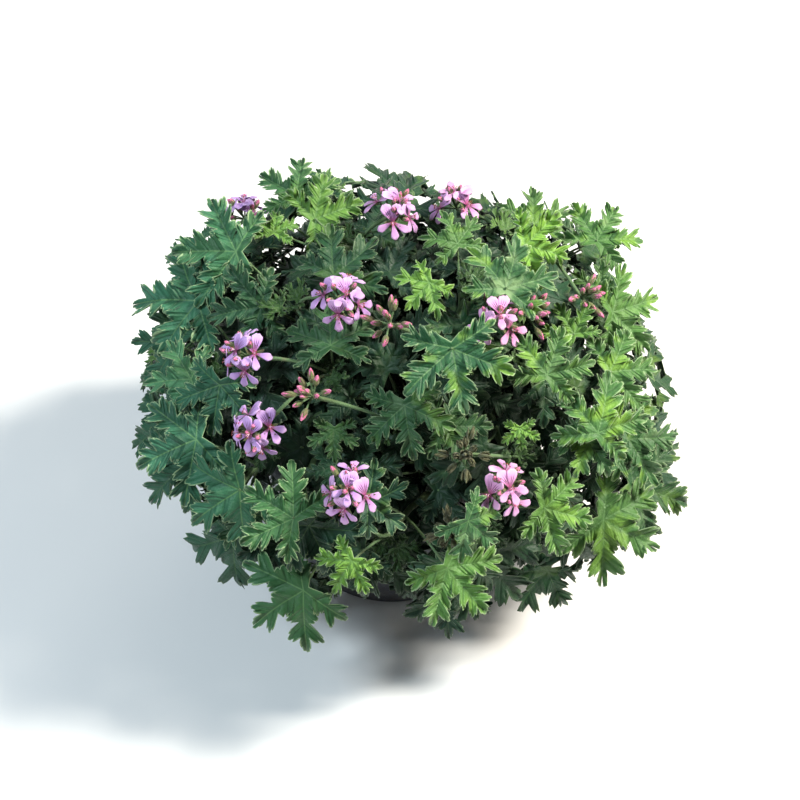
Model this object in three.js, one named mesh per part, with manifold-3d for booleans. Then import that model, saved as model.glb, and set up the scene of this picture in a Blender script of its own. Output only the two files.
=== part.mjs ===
// Potted rose-scented geranium: a bushy plant with deeply cut leaves and mauve-pink umbels, in a plain pot.
// Units are millimetres, +Z is up, and the origin is the middle of the pot's flat base.
// The bush is seen from its front, which is -Y.
import * as THREE from "three";
import { mergeVertices } from "three/addons/utils/BufferGeometryUtils.js";
import Module from "manifold-3d";

const wasm = await Module();
wasm.setup();

// Driving dimensions of the pot and its soil
const POT = { height: 150, baseRadius: 80, rimRadius: 107, wall: 3, floor: 4, sides: 20 };
const RIM = { band: 20, step: 3, edge: 1.5 };
const DRAIN = { count: 4, radius: 6, ring: 52, sides: 6 };
const SOIL = { edgeHeight: 135, crownHeight: 142, gap: 0.5, lift: 0.3, sides: 16 };

// The bush is laid out round its crown, and its leaves and flowers turn a little to the sun.
const CROWN = new THREE.Vector3(15, 0, 150);
const SUN = new THREE.Vector3(0.12, -0.45, 0.88).normalize();

// Driving dimensions of the stems: radii, how they climb and arch as shares of their span,
// and where side shoots leave the main axis as shares of its length
const STEM = { sides: 4, segments: 3, rootRadius: 4.2, branchRadius: 3.1, tipRadius: 1.7 };
const GROWTH = { lean: 0.22, climb: 0.4, arch: 0.3, hangingArch: 0.5, hangingBelow: -20 };
const BRANCH = { first: 0.34, step: 0.14, lowestRise: 30, pull: 0.8 };
const ROOT_HOLE = { depth: 34, clearance: 0.4, headroom: 25, sides: 5 };

// Driving dimensions of the leaves: blade and petiole, and their order round a shoot's tip
const BLADE = { thickness: 0.8, fold: 0.34, droop: 0.2, tilt: 0.12, sinus: 0.34, baseSinus: 0.1 };
const PETIOLE = { radius: 1, sides: 3, neck: 0.3 };
const ROSETTE = {
  turn: 137.5,
  firstNode: 7,
  internode: 11,
  splay: 34,
  splayStep: 11,
  petiole: 25,
  petioleStep: 9,
  bow: 0.55,
  length: 38,
  lengthStep: 4.5,
  longest: 51,
};
// Air kept round a leaf, and the radius round its foot where it may meet its own stem
const AIR = 0.6;
const FOOT_RADIUS = 7;
// A blade shorter than this is a small one, with one point to a lobe.
const SMALL_BLADE = 31;

// The picture that the front leaves are laid out in: the bush seen from its front, 45 degrees from
// above. Its middle is a place in the bush, and the eye stands at a distance from there.
const PICTURE = { middle: new THREE.Vector3(7, 2, 152), rise: 45, distance: 1020, nearness: 32 };
const CANOPY = new THREE.Vector3(205, 185, 172);
// How the front leaves turn: shares of the outward direction, the sun and the eye, and a random sway
const FACING = { outward: 0.7, sun: 0.4, eye: 0.9, sway: 0.32, longest: 57 };
// Ways that a front leaf may be moved until it is clear: a factor on its depth, a turn in degrees
// and a factor on its length
const SHIFTS = [
  [1, 0, 1],
  [0.95, 0, 1],
  [1.05, 0, 1],
  [0.9, 0, 1],
  [1.1, 0, 1],
  [1, 14, 0.95],
  [1, -14, 0.95],
  [1.07, 10, 0.95],
  [1.07, -10, 0.95],
  [0.85, 0, 1],
  [0.93, 18, 0.9],
  [0.93, -18, 0.9],
  [1.12, 16, 0.9],
  [1.12, -16, 0.9],
  [0.86, 20, 0.85],
  [0.86, -20, 0.85],
  [1.02, 32, 0.8],
  [1.02, -32, 0.8],
  [0.78, 0, 0.9],
  [0.78, 40, 0.8],
  [0.78, -40, 0.8],
];
// Each shift is tried with the nearest few places on a stem that its petiole may grow from.
const NODE_CHOICES = 5;
const NODE_SHARES = [0, 0.25, 0.5, 0.75, 0.92];
const FRONT_PETIOLE = { wish: 36, drop: 8, shortest: 14, longest: 88 };

// Driving dimensions of the umbels, their florets and their buds
const UMBEL = { foot: 0.93, pedicel: 13, splay: 63, stalkRadius: 1, heartRadius: 2.6, segments: 2 };
const PEDICEL = { radius: 0.55, start: 0.4, seat: 0.35 };
const FLORET = { upper: 14, lower: 12.8, throat: 6, thickness: 0.7, cup: 0.2 };
const BUD = { radius: 2.1, tip: 0.6, length: 9, drop: 2 };

// Where each leafy stem is rooted, as an angle in degrees and a distance from the pot's axis
const ROOTS = {
  a: [115, 18],
  b: [20, 34],
  c: [200, 36],
  d: [262, 20],
  e: [322, 46],
  f: [155, 58],
  g: [70, 58],
  h: [235, 62],
  i: [285, 64],
  j: [350, 70],
};

// Each shoot's tip, seen from the crown: azimuth and rise in degrees, reach in millimetres,
// and the rise of the direction that it grows in there.
// The first shoot of a stem is its main axis, and the others branch from it.
const SHOOTS = [
  { name: "a1", stem: "a", azimuth: 160, rise: 74, reach: 150, heading: 80, leaves: 3 },
  { name: "a2", stem: "a", azimuth: 92, rise: 42, reach: 130, heading: 50, leaves: 3 },
  { name: "b1", stem: "b", azimuth: 22, rise: 60, reach: 158, heading: 66, leaves: 3 },
  { name: "b2", stem: "b", azimuth: 5, rise: 28, reach: 158, heading: 36, leaves: 3 },
  { name: "b3", stem: "b", azimuth: 32, rise: 34, reach: 156, heading: 44, leaves: 3 },
  { name: "b4", stem: "b", azimuth: 50, rise: 10, reach: 164, heading: 14, leaves: 3 },
  { name: "c1", stem: "c", azimuth: 204, rise: 56, reach: 156, heading: 64, leaves: 3 },
  { name: "c2", stem: "c", azimuth: 204, rise: 30, reach: 168, heading: 38, leaves: 3 },
  { name: "c3", stem: "c", azimuth: 194, rise: 3, reach: 170, heading: 4, leaves: 3 },
  { name: "d1", stem: "d", azimuth: 286, rise: 56, reach: 154, heading: 66, leaves: 3 },
  { name: "d2", stem: "d", azimuth: 262, rise: 40, reach: 156, heading: 50, leaves: 3 },
  { name: "d3", stem: "d", azimuth: 318, rise: 70, reach: 150, heading: 76, leaves: 3 },
  { name: "e1", stem: "e", azimuth: 314, rise: 44, reach: 158, heading: 52, leaves: 3 },
  { name: "e2", stem: "e", azimuth: 328, rise: 24, reach: 168, heading: 30, leaves: 3 },
  { name: "e3", stem: "e", azimuth: 298, rise: 27, reach: 160, heading: 34, leaves: 3 },
  { name: "f1", stem: "f", azimuth: 129, rise: 46, reach: 160, heading: 58, leaves: 3 },
  { name: "f2", stem: "f", azimuth: 158, rise: 31, reach: 184, heading: 40, leaves: 3 },
  { name: "f3", stem: "f", azimuth: 173, rise: 15, reach: 186, heading: 20, leaves: 3 },
  { name: "f4", stem: "f", azimuth: 134, rise: 12, reach: 166, heading: 16, leaves: 3 },
  { name: "g1", stem: "g", azimuth: 72, rise: 14, reach: 160, heading: 22, leaves: 3 },
  { name: "g2", stem: "g", azimuth: 102, rise: 8, reach: 158, heading: 4, leaves: 3 },
  { name: "h1", stem: "h", azimuth: 238, rise: 48, reach: 152, heading: 58, leaves: 3 },
  { name: "h2", stem: "h", azimuth: 245, rise: -11, reach: 156, heading: -50, leaves: 3 },
  { name: "h3", stem: "h", azimuth: 220, rise: 8, reach: 164, heading: -8, leaves: 3 },
  { name: "h4", stem: "h", azimuth: 240, rise: 18, reach: 160, heading: 14, leaves: 3 },
  { name: "i1", stem: "i", azimuth: 288, rise: 14, reach: 158, heading: 14, leaves: 3 },
  { name: "i2", stem: "i", azimuth: 280, rise: -8, reach: 146, heading: -50, leaves: 3 },
  { name: "i3", stem: "i", azimuth: 264, rise: 10, reach: 158, heading: 0, leaves: 3 },
  { name: "j1", stem: "j", azimuth: 338, rise: -2, reach: 170, heading: -16, leaves: 3 },
  { name: "j2", stem: "j", azimuth: 319, rise: -5, reach: 168, heading: -30, leaves: 3 },
];

// The front leaves. A blade's heart is given across and up from the middle of the picture, then come
// the direction that it points in, in degrees from the right, and its length there. Depth is a share
// of the canopy.
const FRONT_LEAVES = [
  { across: -80, up: 158, points: 85, length: 36, depth: 1.04 },
  { across: -66, up: 142, points: 20, length: 40, depth: 0.98 },
  { across: -98, up: 131, points: 80, length: 19, depth: 1 },
  { across: -127, up: 115, points: 175, length: 52, depth: 1.04 },
  { across: -158, up: 78, points: 178, length: 51, depth: 1.02 },
  { across: -173, up: 43, points: 172, length: 38, depth: 1 },
  { across: -162, up: 16, points: 180, length: 39, depth: 0.98 },
  { across: -140, up: 12, points: 255, length: 41, depth: 1.05 },
  { across: -158, up: -31, points: 200, length: 52, depth: 1.02 },
  { across: -164, up: -47, points: 222, length: 44, depth: 0.93 },
  { across: -125, up: -70, points: 212, length: 49, depth: 1 },
  { across: -83, up: -92, points: 148, length: 46, depth: 1.06 },
  { across: -75, up: -148, points: 212, length: 52, depth: 1 },
  { across: -37, up: -125, points: 235, length: 30, depth: 1.05 },
  { across: -16, up: -118, points: 308, length: 44, depth: 0.97 },
  { across: -25, up: -80, points: 350, length: 46, depth: 0.97 },
  { across: 37, up: -131, points: 312, length: 47, depth: 1.03 },
  { across: 53, up: -94, points: 335, length: 37, depth: 1 },
  { across: 113, up: -84, points: 345, length: 40, depth: 1 },
  { across: 158, up: -93, points: 330, length: 51, depth: 0.97 },
  { across: 183, up: -66, points: 341, length: 47, depth: 0.94 },
  { across: 97, up: -66, points: 344, length: 46, depth: 0.93 },
  { across: 154, up: -25, points: 72, length: 46, depth: 1.05 },
  { across: 178, up: -30, points: 0, length: 42, depth: 0.98 },
  { across: 148, up: -32, points: 245, length: 30, depth: 0.99 },
  { across: 115, up: 20, points: 70, length: 40, depth: 1.04 },
  { across: 165, up: 23, points: 5, length: 39, depth: 1 },
  { across: 166, up: 69, points: 15, length: 39, depth: 1 },
  { across: 162, up: 51, points: 352, length: 35, depth: 0.95 },
  { across: 156, up: 84, points: 85, length: 26, depth: 1 },
  { across: 154, up: 125, points: 60, length: 35, depth: 1.03 },
  { across: 98, up: 121, points: 345, length: 37, depth: 1.04 },
  { across: 104, up: 138, points: 88, length: 30, depth: 0.97 },
  { across: 84, up: 88, points: 92, length: 48, depth: 0.97 },
  { across: 45, up: 122, points: 112, length: 30, depth: 1 },
  { across: 23, up: 92, points: 225, length: 27, depth: 1.04 },
  { across: 41, up: 41, points: 281, length: 52, depth: 1.06 },
  { across: 34, up: -20, points: 0, length: 39, depth: 0.97 },
  { across: 4, up: -4, points: 262, length: 48, depth: 0.86 },
  { across: 94, up: -22, points: 275, length: 18, depth: 1 },
  { across: -51, up: 97, points: 40, length: 45, depth: 0.93 },
  { across: -108, up: 73, points: 188, length: 42, depth: 0.93 },
  { across: -51, up: -23, points: 268, length: 24, depth: 0.95 },
  { across: -95, up: -112, points: 195, length: 35, depth: 0.9 },
  { across: -33, up: -53, points: 5, length: 36, depth: 0.93 },
  { across: -156, up: -8, points: 185, length: 32, depth: 0.94 },
  { across: -122, up: -88, points: 238, length: 34, depth: 0.92 },
  { across: -8, up: 100, points: 60, length: 36, depth: 0.93 },
  { across: 136, up: 52, points: 120, length: 28, depth: 0.98 },
  { across: -108, up: -35, points: 265, length: 19, depth: 0.95 },
  { across: -52, up: -52, points: 195, length: 24, depth: 0.92 },
  { across: -39, up: 2, points: 200, length: 44, depth: 0.78 },
  { across: -82, up: 26, points: 130, length: 42, depth: 0.8 },
  { across: -6, up: 42, points: 100, length: 44, depth: 0.8 },
  { across: 64, up: -40, points: 330, length: 46, depth: 0.8 },
  { across: 30, up: -70, points: 20, length: 42, depth: 0.85 },
  { across: 108, up: -20, points: 170, length: 44, depth: 0.82 },
  { across: 60, up: 8, points: 30, length: 40, depth: 0.82 },
];

// Each umbel's heart, seen from the crown as the shoots' tips are, and the shoot that its stalk
// grows from
const UMBELS = [
  { name: "01", shoot: "f2", azimuth: 147, rise: 38, reach: 190, kind: "open", florets: 4 },
  { name: "02", shoot: "a1", azimuth: 136, rise: 84, reach: 174, kind: "open", florets: 5 },
  { name: "03", shoot: "b1", azimuth: 54, rise: 70, reach: 164, kind: "open", florets: 4 },
  { name: "04", shoot: "c1", azimuth: 233, rise: 64, reach: 177, kind: "open", florets: 5 },
  { name: "05", shoot: "d1", azimuth: 260, rise: 62, reach: 176, kind: "bud", florets: 5 },
  { name: "06", shoot: "h1", azimuth: 217, rise: 43, reach: 186, kind: "open", florets: 5 },
  { name: "07", shoot: "h1", azimuth: 231, rise: 32, reach: 187, kind: "open", florets: 5 },
  { name: "08", shoot: "d2", azimuth: 241, rise: 43, reach: 182, kind: "bud", florets: 5 },
  { name: "09", shoot: "e1", azimuth: 306, rise: 58, reach: 179, kind: "open", florets: 4 },
  { name: "10", shoot: "d3", azimuth: 320, rise: 56, reach: 178, kind: "bud", florets: 4 },
  { name: "11", shoot: "i3", azimuth: 256, rise: 26, reach: 185, kind: "open", florets: 5 },
  { name: "12", shoot: "i1", azimuth: 290, rise: 26, reach: 189, kind: "open", florets: 4 },
  { name: "13", shoot: "e3", azimuth: 283, rise: 34, reach: 181, kind: "bud", florets: 5 },
  { name: "14", shoot: "i1", azimuth: 278, rise: 19, reach: 186, kind: "bud", florets: 4 },
  { name: "15", shoot: "b1", azimuth: 343, rise: 49, reach: 185, kind: "bud", florets: 4 },
];

// Ways that a leaf may be bent until it is clear of its neighbours: turn and splay in degrees,
// then factors on the petiole's and the blade's length
const BENDS = [
  [0, 0, 1, 1],
  [20, 0, 1, 1],
  [-20, 0, 1, 1],
  [0, 14, 1.15, 1],
  [0, -14, 1.2, 1],
  [34, 8, 1.1, 0.94],
  [-34, 8, 1.1, 0.94],
  [0, 24, 0.85, 0.94],
  [50, -10, 1.3, 0.9],
  [-50, -10, 1.3, 0.9],
  [16, 18, 1.4, 0.9],
  [-16, 18, 1.4, 0.9],
  [68, 6, 0.9, 0.85],
  [-68, 6, 0.9, 0.85],
  [28, 30, 1.1, 0.82],
  [-28, 30, 1.1, 0.82],
];

// The blade's five lobes from right to left: direction from the tip in degrees, and length as a share
// of the middle lobe. The points of a lobe's edge between its sinuses are given along and beside it,
// as shares of its length: two at its broad end or, on a small blade, one at its tip.
const LOBE_EDGE = [
  [0.84, 0.3],
  [0.84, -0.3],
];
const LOBE_TIP = [[1, 0]];
const LOBES = [
  { angle: 112, length: 0.76 },
  { angle: 57, length: 0.95 },
  { angle: 0, length: 1 },
  { angle: -57, length: 0.95 },
  { angle: -112, length: 0.76 },
];

// A floret's petals from left to right: two long ones above and three shorter ones below
const PETALS = [
  { angle: 112, reach: FLORET.lower },
  { angle: 28, reach: FLORET.upper },
  { angle: -28, reach: FLORET.upper },
  { angle: -112, reach: FLORET.lower },
  { angle: -180, reach: FLORET.lower },
];

const LOOKS = {
  pot: { color: 0x2b2f3a, roughness: 0.55 },
  soil: { color: 0x2e2219, roughness: 0.95 },
  leaf: { color: 0x3c7a3a, roughness: 0.7 },
  petal: { color: 0xd98fe0, roughness: 0.6 },
};

const UP = new THREE.Vector3(0, 0, 1);
const vector = (x, y, z) => new THREE.Vector3(x, y, z);
const radians = THREE.MathUtils.degToRad;
const lerp = THREE.MathUtils.lerp;

// A number from -1 to 1 that is always the same for the same two seeds
function scatter(a, b) {
  const wide = Math.sin(a * 12.9898 + b * 78.233) * 43758.5453;
  return 2 * (wide - Math.floor(wide)) - 1;
}

// The direction with an azimuth and a rise, in degrees
function direction(azimuth, rise) {
  const level = Math.cos(radians(rise));
  const [x, y] = [Math.cos(radians(azimuth)), Math.sin(radians(azimuth))];
  return vector(level * x, level * y, Math.sin(radians(rise)));
}

function fromCrown({ azimuth, rise, reach }) {
  return CROWN.clone().addScaledVector(direction(azimuth, rise), reach);
}

// The sum of vectors, each times its weight, as a unit vector
function blend(...pairs) {
  const sum = vector(0, 0, 0);
  for (const [part, weight] of pairs) sum.addScaledVector(part, weight);
  return sum.normalize();
}

// The part of v that lies across the unit vector n, as a unit vector
function across(v, n) {
  return v.clone().addScaledVector(n, -v.dot(n)).normalize();
}

// The point that lies along and beside a place, in the directions given
function offset(place, ...pairs) {
  const point = place.clone();
  for (const [part, weight] of pairs) point.addScaledVector(part, weight);
  return point;
}

function solidOf(geometry) {
  const bare = new THREE.BufferGeometry();
  bare.setAttribute("position", geometry.getAttribute("position").clone());
  if (geometry.index) bare.setIndex(geometry.index.clone());
  const merged = mergeVertices(bare, 1e-4);
  return new wasm.Manifold(
    new wasm.Mesh({
      numProp: 3,
      vertProperties: new Float32Array(merged.attributes.position.array),
      triVerts: new Uint32Array(merged.index.array),
    }),
  );
}

function geometryOf(solid) {
  const mesh = solid.getMesh();
  const geometry = new THREE.BufferGeometry();
  geometry.setAttribute("position", new THREE.BufferAttribute(mesh.vertProperties.slice(), 3));
  geometry.setIndex(new THREE.BufferAttribute(mesh.triVerts.slice(), 1));
  geometry.computeVertexNormals();
  return geometry;
}

function shellOf(points, faces) {
  const geometry = new THREE.BufferGeometry();
  const flat = points.flatMap((p) => [p.x, p.y, p.z]);
  geometry.setAttribute("position", new THREE.Float32BufferAttribute(flat, 3));
  geometry.setIndex(faces.flat());
  return solidOf(geometry);
}

// Rings of a tube along a path, carried on without twist from the first side direction
function ringsAlong(path, radii, sides, firstSide) {
  let side = firstSide;
  return path.map((centre, k) => {
    const ahead = path[Math.min(k + 1, path.length - 1)];
    const behind = path[Math.max(k - 1, 0)];
    const heading = ahead.clone().sub(behind).normalize();
    side = across(side, heading);
    const second = side.clone().cross(heading);
    return Array.from({ length: sides }, (_, i) => {
      const angle = Math.PI / 2 + (2 * Math.PI * i) / sides;
      const [x, y] = [radii[k] * Math.cos(angle), radii[k] * Math.sin(angle)];
      return offset(centre, [side, x], [second, y]);
    });
  });
}

// Side faces between rings whose first vertex is number start
function tubeFaces(start, rings, sides) {
  const faces = [];
  for (let k = 0; k < rings - 1; k++) {
    for (let i = 0; i < sides; i++) {
      const j = (i + 1) % sides;
      const [upper, lower] = [start + k * sides, start + (k + 1) * sides];
      faces.push([lower + i, lower + j, upper + j], [lower + i, upper + j, upper + i]);
    }
  }
  return faces;
}

// A flat cap on the first ring or, turned over, on the last
function capFaces(start, sides, isLast) {
  const faces = [];
  for (let i = 1; i < sides - 1; i++) {
    faces.push(isLast ? [start, start + i + 1, start + i] : [start, start + i, start + i + 1]);
  }
  return faces;
}

function tube(path, radii, sides) {
  const rings = ringsAlong(path, radii, sides, vector(1, 0.2, 0.1));
  const last = (rings.length - 1) * sides;
  return shellOf(rings.flat(), [
    ...capFaces(0, sides, false),
    ...tubeFaces(0, rings.length, sides),
    ...capFaces(last, sides, true),
  ]);
}

// A shoot's centreline: it climbs from its foot, then leans or hangs out to its tip
function shootCurve(shoot, foot, footHeading) {
  const tip = fromCrown(shoot);
  const span = tip.distanceTo(foot);
  const arch = shoot.heading < GROWTH.hangingBelow ? GROWTH.hangingArch : GROWTH.arch;
  return new THREE.CubicBezierCurve3(
    foot,
    offset(foot, [footHeading, span * GROWTH.climb]),
    offset(tip, [direction(shoot.azimuth, shoot.heading), -span * arch]),
    tip,
  );
}

// All the shoots with their curves; a side shoot starts inside its stem's main axis
function growShoots() {
  const mains = {};
  return SHOOTS.map((shoot, number) => {
    const main = mains[shoot.stem];
    if (main) {
      const t = BRANCH.first + BRANCH.step * main.branches;
      main.branches += 1;
      const outward = direction(shoot.azimuth, Math.max(shoot.rise, BRANCH.lowestRise));
      const heading = blend([main.curve.getTangent(t), 1], [outward, BRANCH.pull]);
      return { ...shoot, number, curve: shootCurve(shoot, main.curve.getPoint(t), heading) };
    }
    const [angle, distance] = ROOTS[shoot.stem];
    const foot = direction(angle, 0).multiplyScalar(distance).setZ(SOIL.crownHeight);
    const heading = blend([UP, 1], [direction(shoot.azimuth, 0), GROWTH.lean]);
    const curve = shootCurve(shoot, foot, heading);
    mains[shoot.stem] = { curve, branches: 0 };
    return { ...shoot, number, curve, isMain: true };
  });
}

// The point that a stem's root end reaches, straight down from its foot
function below(shoot, depth) {
  return offset(shoot.curve.getPoint(0), [shoot.curve.getTangent(0), -depth]);
}

// Where a leaf leaves its shoot, as a share of the shoot's curve
function nodeShare(shoot, leafNumber) {
  return 1 - (ROSETTE.firstNode + ROSETTE.internode * leafNumber) / shoot.curve.getLength();
}

// The point on a stem at a share of its curve; from its last leaf to its tip the stem is straight.
function stemPoint(shoot, t) {
  const lastLeaf = nodeShare(shoot, shoot.leaves - 1);
  if (t <= lastLeaf) return shoot.curve.getPoint(t);
  return shoot.curve.getPoint(lastLeaf).lerp(shoot.curve.getPoint(1), (t - lastLeaf) / (1 - lastLeaf));
}

// A stem's tube has one straight length under its leaves, and some more down to its foot.
function stemTube(shoot) {
  const startRadius = shoot.isMain ? STEM.rootRadius : STEM.branchRadius;
  const lastLeaf = nodeShare(shoot, shoot.leaves - 1);
  const steps = [1];
  for (let k = STEM.segments; k >= 0; k--) steps.push((lastLeaf * k) / STEM.segments);
  const path = steps.map((t) => shoot.curve.getPoint(t));
  const radii = steps.map((t) => lerp(startRadius, STEM.tipRadius, t));
  if (shoot.isMain) {
    path.push(below(shoot, ROOT_HOLE.depth));
    radii.push(startRadius);
  }
  return tube(path, radii, STEM.sides);
}

// The plain hole in the soil that a stem stands in
function rootHole(shoot) {
  const radius = (STEM.rootRadius + ROOT_HOLE.clearance) / Math.cos(Math.PI / ROOT_HOLE.sides);
  const path = [below(shoot, -ROOT_HOLE.headroom), below(shoot, ROOT_HOLE.depth + 1)];
  return tube(path, [radius, radius], ROOT_HOLE.sides);
}

// A leaf's pose on its shoot, bent by one of the ways in BENDS. Its blade has a frame of its own:
// aside, ahead to its tip, and normal out of its upper face.
function leafPose(shoot, leafNumber, bend) {
  const [turn, splayMore, petioleFactor, lengthFactor] = bend;
  const seed = 7 * shoot.number + leafNumber;
  const t = nodeShare(shoot, leafNumber);
  const node = stemPoint(shoot, t);
  const axis = shoot.curve.getTangent(t);
  const right = across(vector(0.31, 0.17, 1), axis);
  const front = axis.clone().cross(right);
  const spin = radians(ROSETTE.turn * leafNumber + 71 * shoot.number + 14 * scatter(seed, 1) + turn);
  const splay = radians(ROSETTE.splay + ROSETTE.splayStep * leafNumber + splayMore);
  const radial = blend([right, Math.cos(spin)], [front, Math.sin(spin)]);
  const nodeOutward = node.clone().sub(CROWN).normalize();
  const leaving = blend([axis, Math.cos(splay)], [radial, Math.sin(splay)], [nodeOutward, 0.2]);
  const arriving = blend([leaving, 1], [nodeOutward, 0.25], [UP, 0.1]);
  const plainPetiole = ROSETTE.petiole + ROSETTE.petioleStep * leafNumber;
  const petiole = plainPetiole * petioleFactor * (1 + 0.2 * scatter(seed, 8));
  const place = offset(node, [leaving, petiole * ROSETTE.bow], [arriving, petiole * (1 - ROSETTE.bow)]);
  const outward = place.clone().sub(CROWN).normalize();
  const facing = blend(
    [outward, 1],
    [SUN, 0.6],
    [radial, 0.3 * scatter(seed, 2)],
    [right, 0.35 * scatter(seed, 3)],
  );
  const normal = blend([facing, 1], [arriving, 1.3 * Math.max(0, 0.42 - facing.dot(arriving))]);
  const ahead = across(arriving, normal);
  const plainLength = Math.min(ROSETTE.length + ROSETTE.lengthStep * leafNumber, ROSETTE.longest);
  return {
    place,
    node,
    aside: ahead.clone().cross(normal),
    ahead,
    normal,
    length: plainLength * (1 + 0.08 * scatter(seed, 4)) * lengthFactor,
    fold: BLADE.fold * (1 + 0.3 * scatter(seed, 5)),
    droop: BLADE.droop * (1 + 0.5 * scatter(seed, 6)),
    tilt: BLADE.tilt * scatter(seed, 7),
  };
}

// The picture's right, its up, and the place of the eye
const RIGHT = vector(1, 0, 0);
const PICTURE_UP = direction(90, PICTURE.rise);
const EYE = offset(PICTURE.middle, [direction(-90, PICTURE.rise), PICTURE.distance]);

// The place where the line of sight through a point of the picture comes to the canopy, which is
// shrunk or grown to a share, or where the line passes nearest to the crown
function onCanopy({ across: x, up }, share) {
  const sight = offset(PICTURE.middle, [RIGHT, x], [PICTURE_UP, up]).sub(EYE).normalize();
  const start = EYE.clone().sub(CROWN).divide(CANOPY);
  const step = sight.clone().divide(CANOPY);
  const [a, b, c] = [step.dot(step), start.dot(step), start.dot(start) - share * share];
  const reach = Math.sqrt(Math.max(0, b * b - a * c));
  return offset(EYE, [sight, (-b - reach) / a]);
}

// Where a point shows in the picture, across and up
function inPicture(point) {
  const sight = point.clone().sub(EYE);
  const scale = PICTURE.distance / -sight.dot(direction(-90, PICTURE.rise));
  return new THREE.Vector2(sight.dot(RIGHT), sight.dot(PICTURE_UP)).multiplyScalar(scale);
}

// All the places on the stems that a front leaf may grow from
function frontNodes(shoots) {
  return shoots.flatMap((shoot) => {
    const lastLeaf = nodeShare(shoot, shoot.leaves - 1);
    const shares = [(lastLeaf * 2) / 3, ...NODE_SHARES.map((share) => lerp(lastLeaf, 1, share))];
    return shares.map((t) => ({ stem: shoot.stem, node: stemPoint(shoot, t) }));
  });
}

// A front leaf's poses, from the one that is wanted to those that are moved more and more
function frontPoses(leaf, number, nodes) {
  const seed = 300 + number;
  const poses = [];
  for (const [depthFactor, turn, lengthFactor] of SHIFTS) {
    const place = onCanopy(leaf, leaf.depth * depthFactor);
    const outward = place.clone().sub(CROWN).normalize();
    const toEye = EYE.clone().sub(place);
    const nearness = toEye.length() / PICTURE.distance;
    toEye.normalize();
    const normal = blend(
      [outward, FACING.outward],
      [SUN, FACING.sun],
      [toEye, FACING.eye],
      [RIGHT, FACING.sway * scatter(seed, 2)],
      [PICTURE_UP, FACING.sway * scatter(seed, 3)],
    );
    const heading = radians(leaf.points + turn);
    const inPlane = offset(vector(0, 0, 0), [RIGHT, Math.cos(heading)], [PICTURE_UP, Math.sin(heading)]);
    const ahead = offset(inPlane, [toEye, -inPlane.dot(normal) / toEye.dot(normal)]);
    const length = Math.min(leaf.length * nearness * ahead.length(), FACING.longest) * lengthFactor;
    ahead.normalize();
    const wish = offset(place, [outward, -FRONT_PETIOLE.wish], [UP, -FRONT_PETIOLE.drop]);
    const inReach = ({ node }) =>
      node.distanceTo(place) > FRONT_PETIOLE.shortest && node.distanceTo(place) < FRONT_PETIOLE.longest;
    const nearest = nodes
      .filter(inReach)
      .sort((one, other) => one.node.distanceTo(wish) - other.node.distanceTo(wish));
    for (const { stem, node } of nearest.slice(0, NODE_CHOICES)) {
      poses.push({
        place,
        node,
        stem,
        aside: ahead.clone().cross(normal),
        ahead,
        normal,
        length,
        fold: BLADE.fold * (1 + 0.3 * scatter(seed, 5)),
        droop: BLADE.droop * (1 + 0.5 * scatter(seed, 6)),
        tilt: BLADE.tilt * scatter(seed, 7),
      });
    }
  }
  return poses;
}

// Whether a leaf would stand before a front leaf in the picture
function hides(leaf, front) {
  const middle = offset(leaf.place, [leaf.ahead, leaf.length * 0.4]);
  return front.some((one) => {
    const other = offset(one.place, [one.ahead, one.length * 0.4]);
    const isBeside = inPicture(middle).distanceTo(inPicture(other)) < PICTURE.nearness;
    return isBeside && EYE.distanceTo(middle) < EYE.distanceTo(other) + 10;
  });
}

// The height of a blade's point over its heart: folded up beside each rib and drooping outwards
function bladeHeight(x, y, leaf) {
  const reach = Math.hypot(x, y);
  const heading = Math.atan2(x, y);
  const offRib = Math.min(...LOBES.map((lobe) => Math.abs(radians(lobe.angle) - heading)));
  return leaf.fold * reach * Math.sin(offRib) - (leaf.droop * reach * reach) / leaf.length + leaf.tilt * x;
}

// The blade's edge from its base sinus round to the right, in its own frame
function bladeEdge(leaf, length) {
  const edge = [[0, -BLADE.baseSinus * length]];
  LOBES.forEach((lobe, k) => {
    const angle = radians(lobe.angle);
    const size = lobe.length * length;
    for (const [along, beside] of leaf.length < SMALL_BLADE ? LOBE_TIP : LOBE_EDGE) {
      edge.push([
        size * (along * Math.sin(angle) + beside * Math.cos(angle)),
        size * (along * Math.cos(angle) - beside * Math.sin(angle)),
      ]);
    }
    if (k + 1 === LOBES.length) return;
    const middle = radians((lobe.angle + LOBES[k + 1].angle) / 2);
    const sinus = BLADE.sinus * length;
    edge.push([sinus * Math.sin(middle), sinus * Math.cos(middle)]);
  });
  return edge.map(([x, y]) => vector(x, y, bladeHeight(x, y, leaf)));
}

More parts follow.
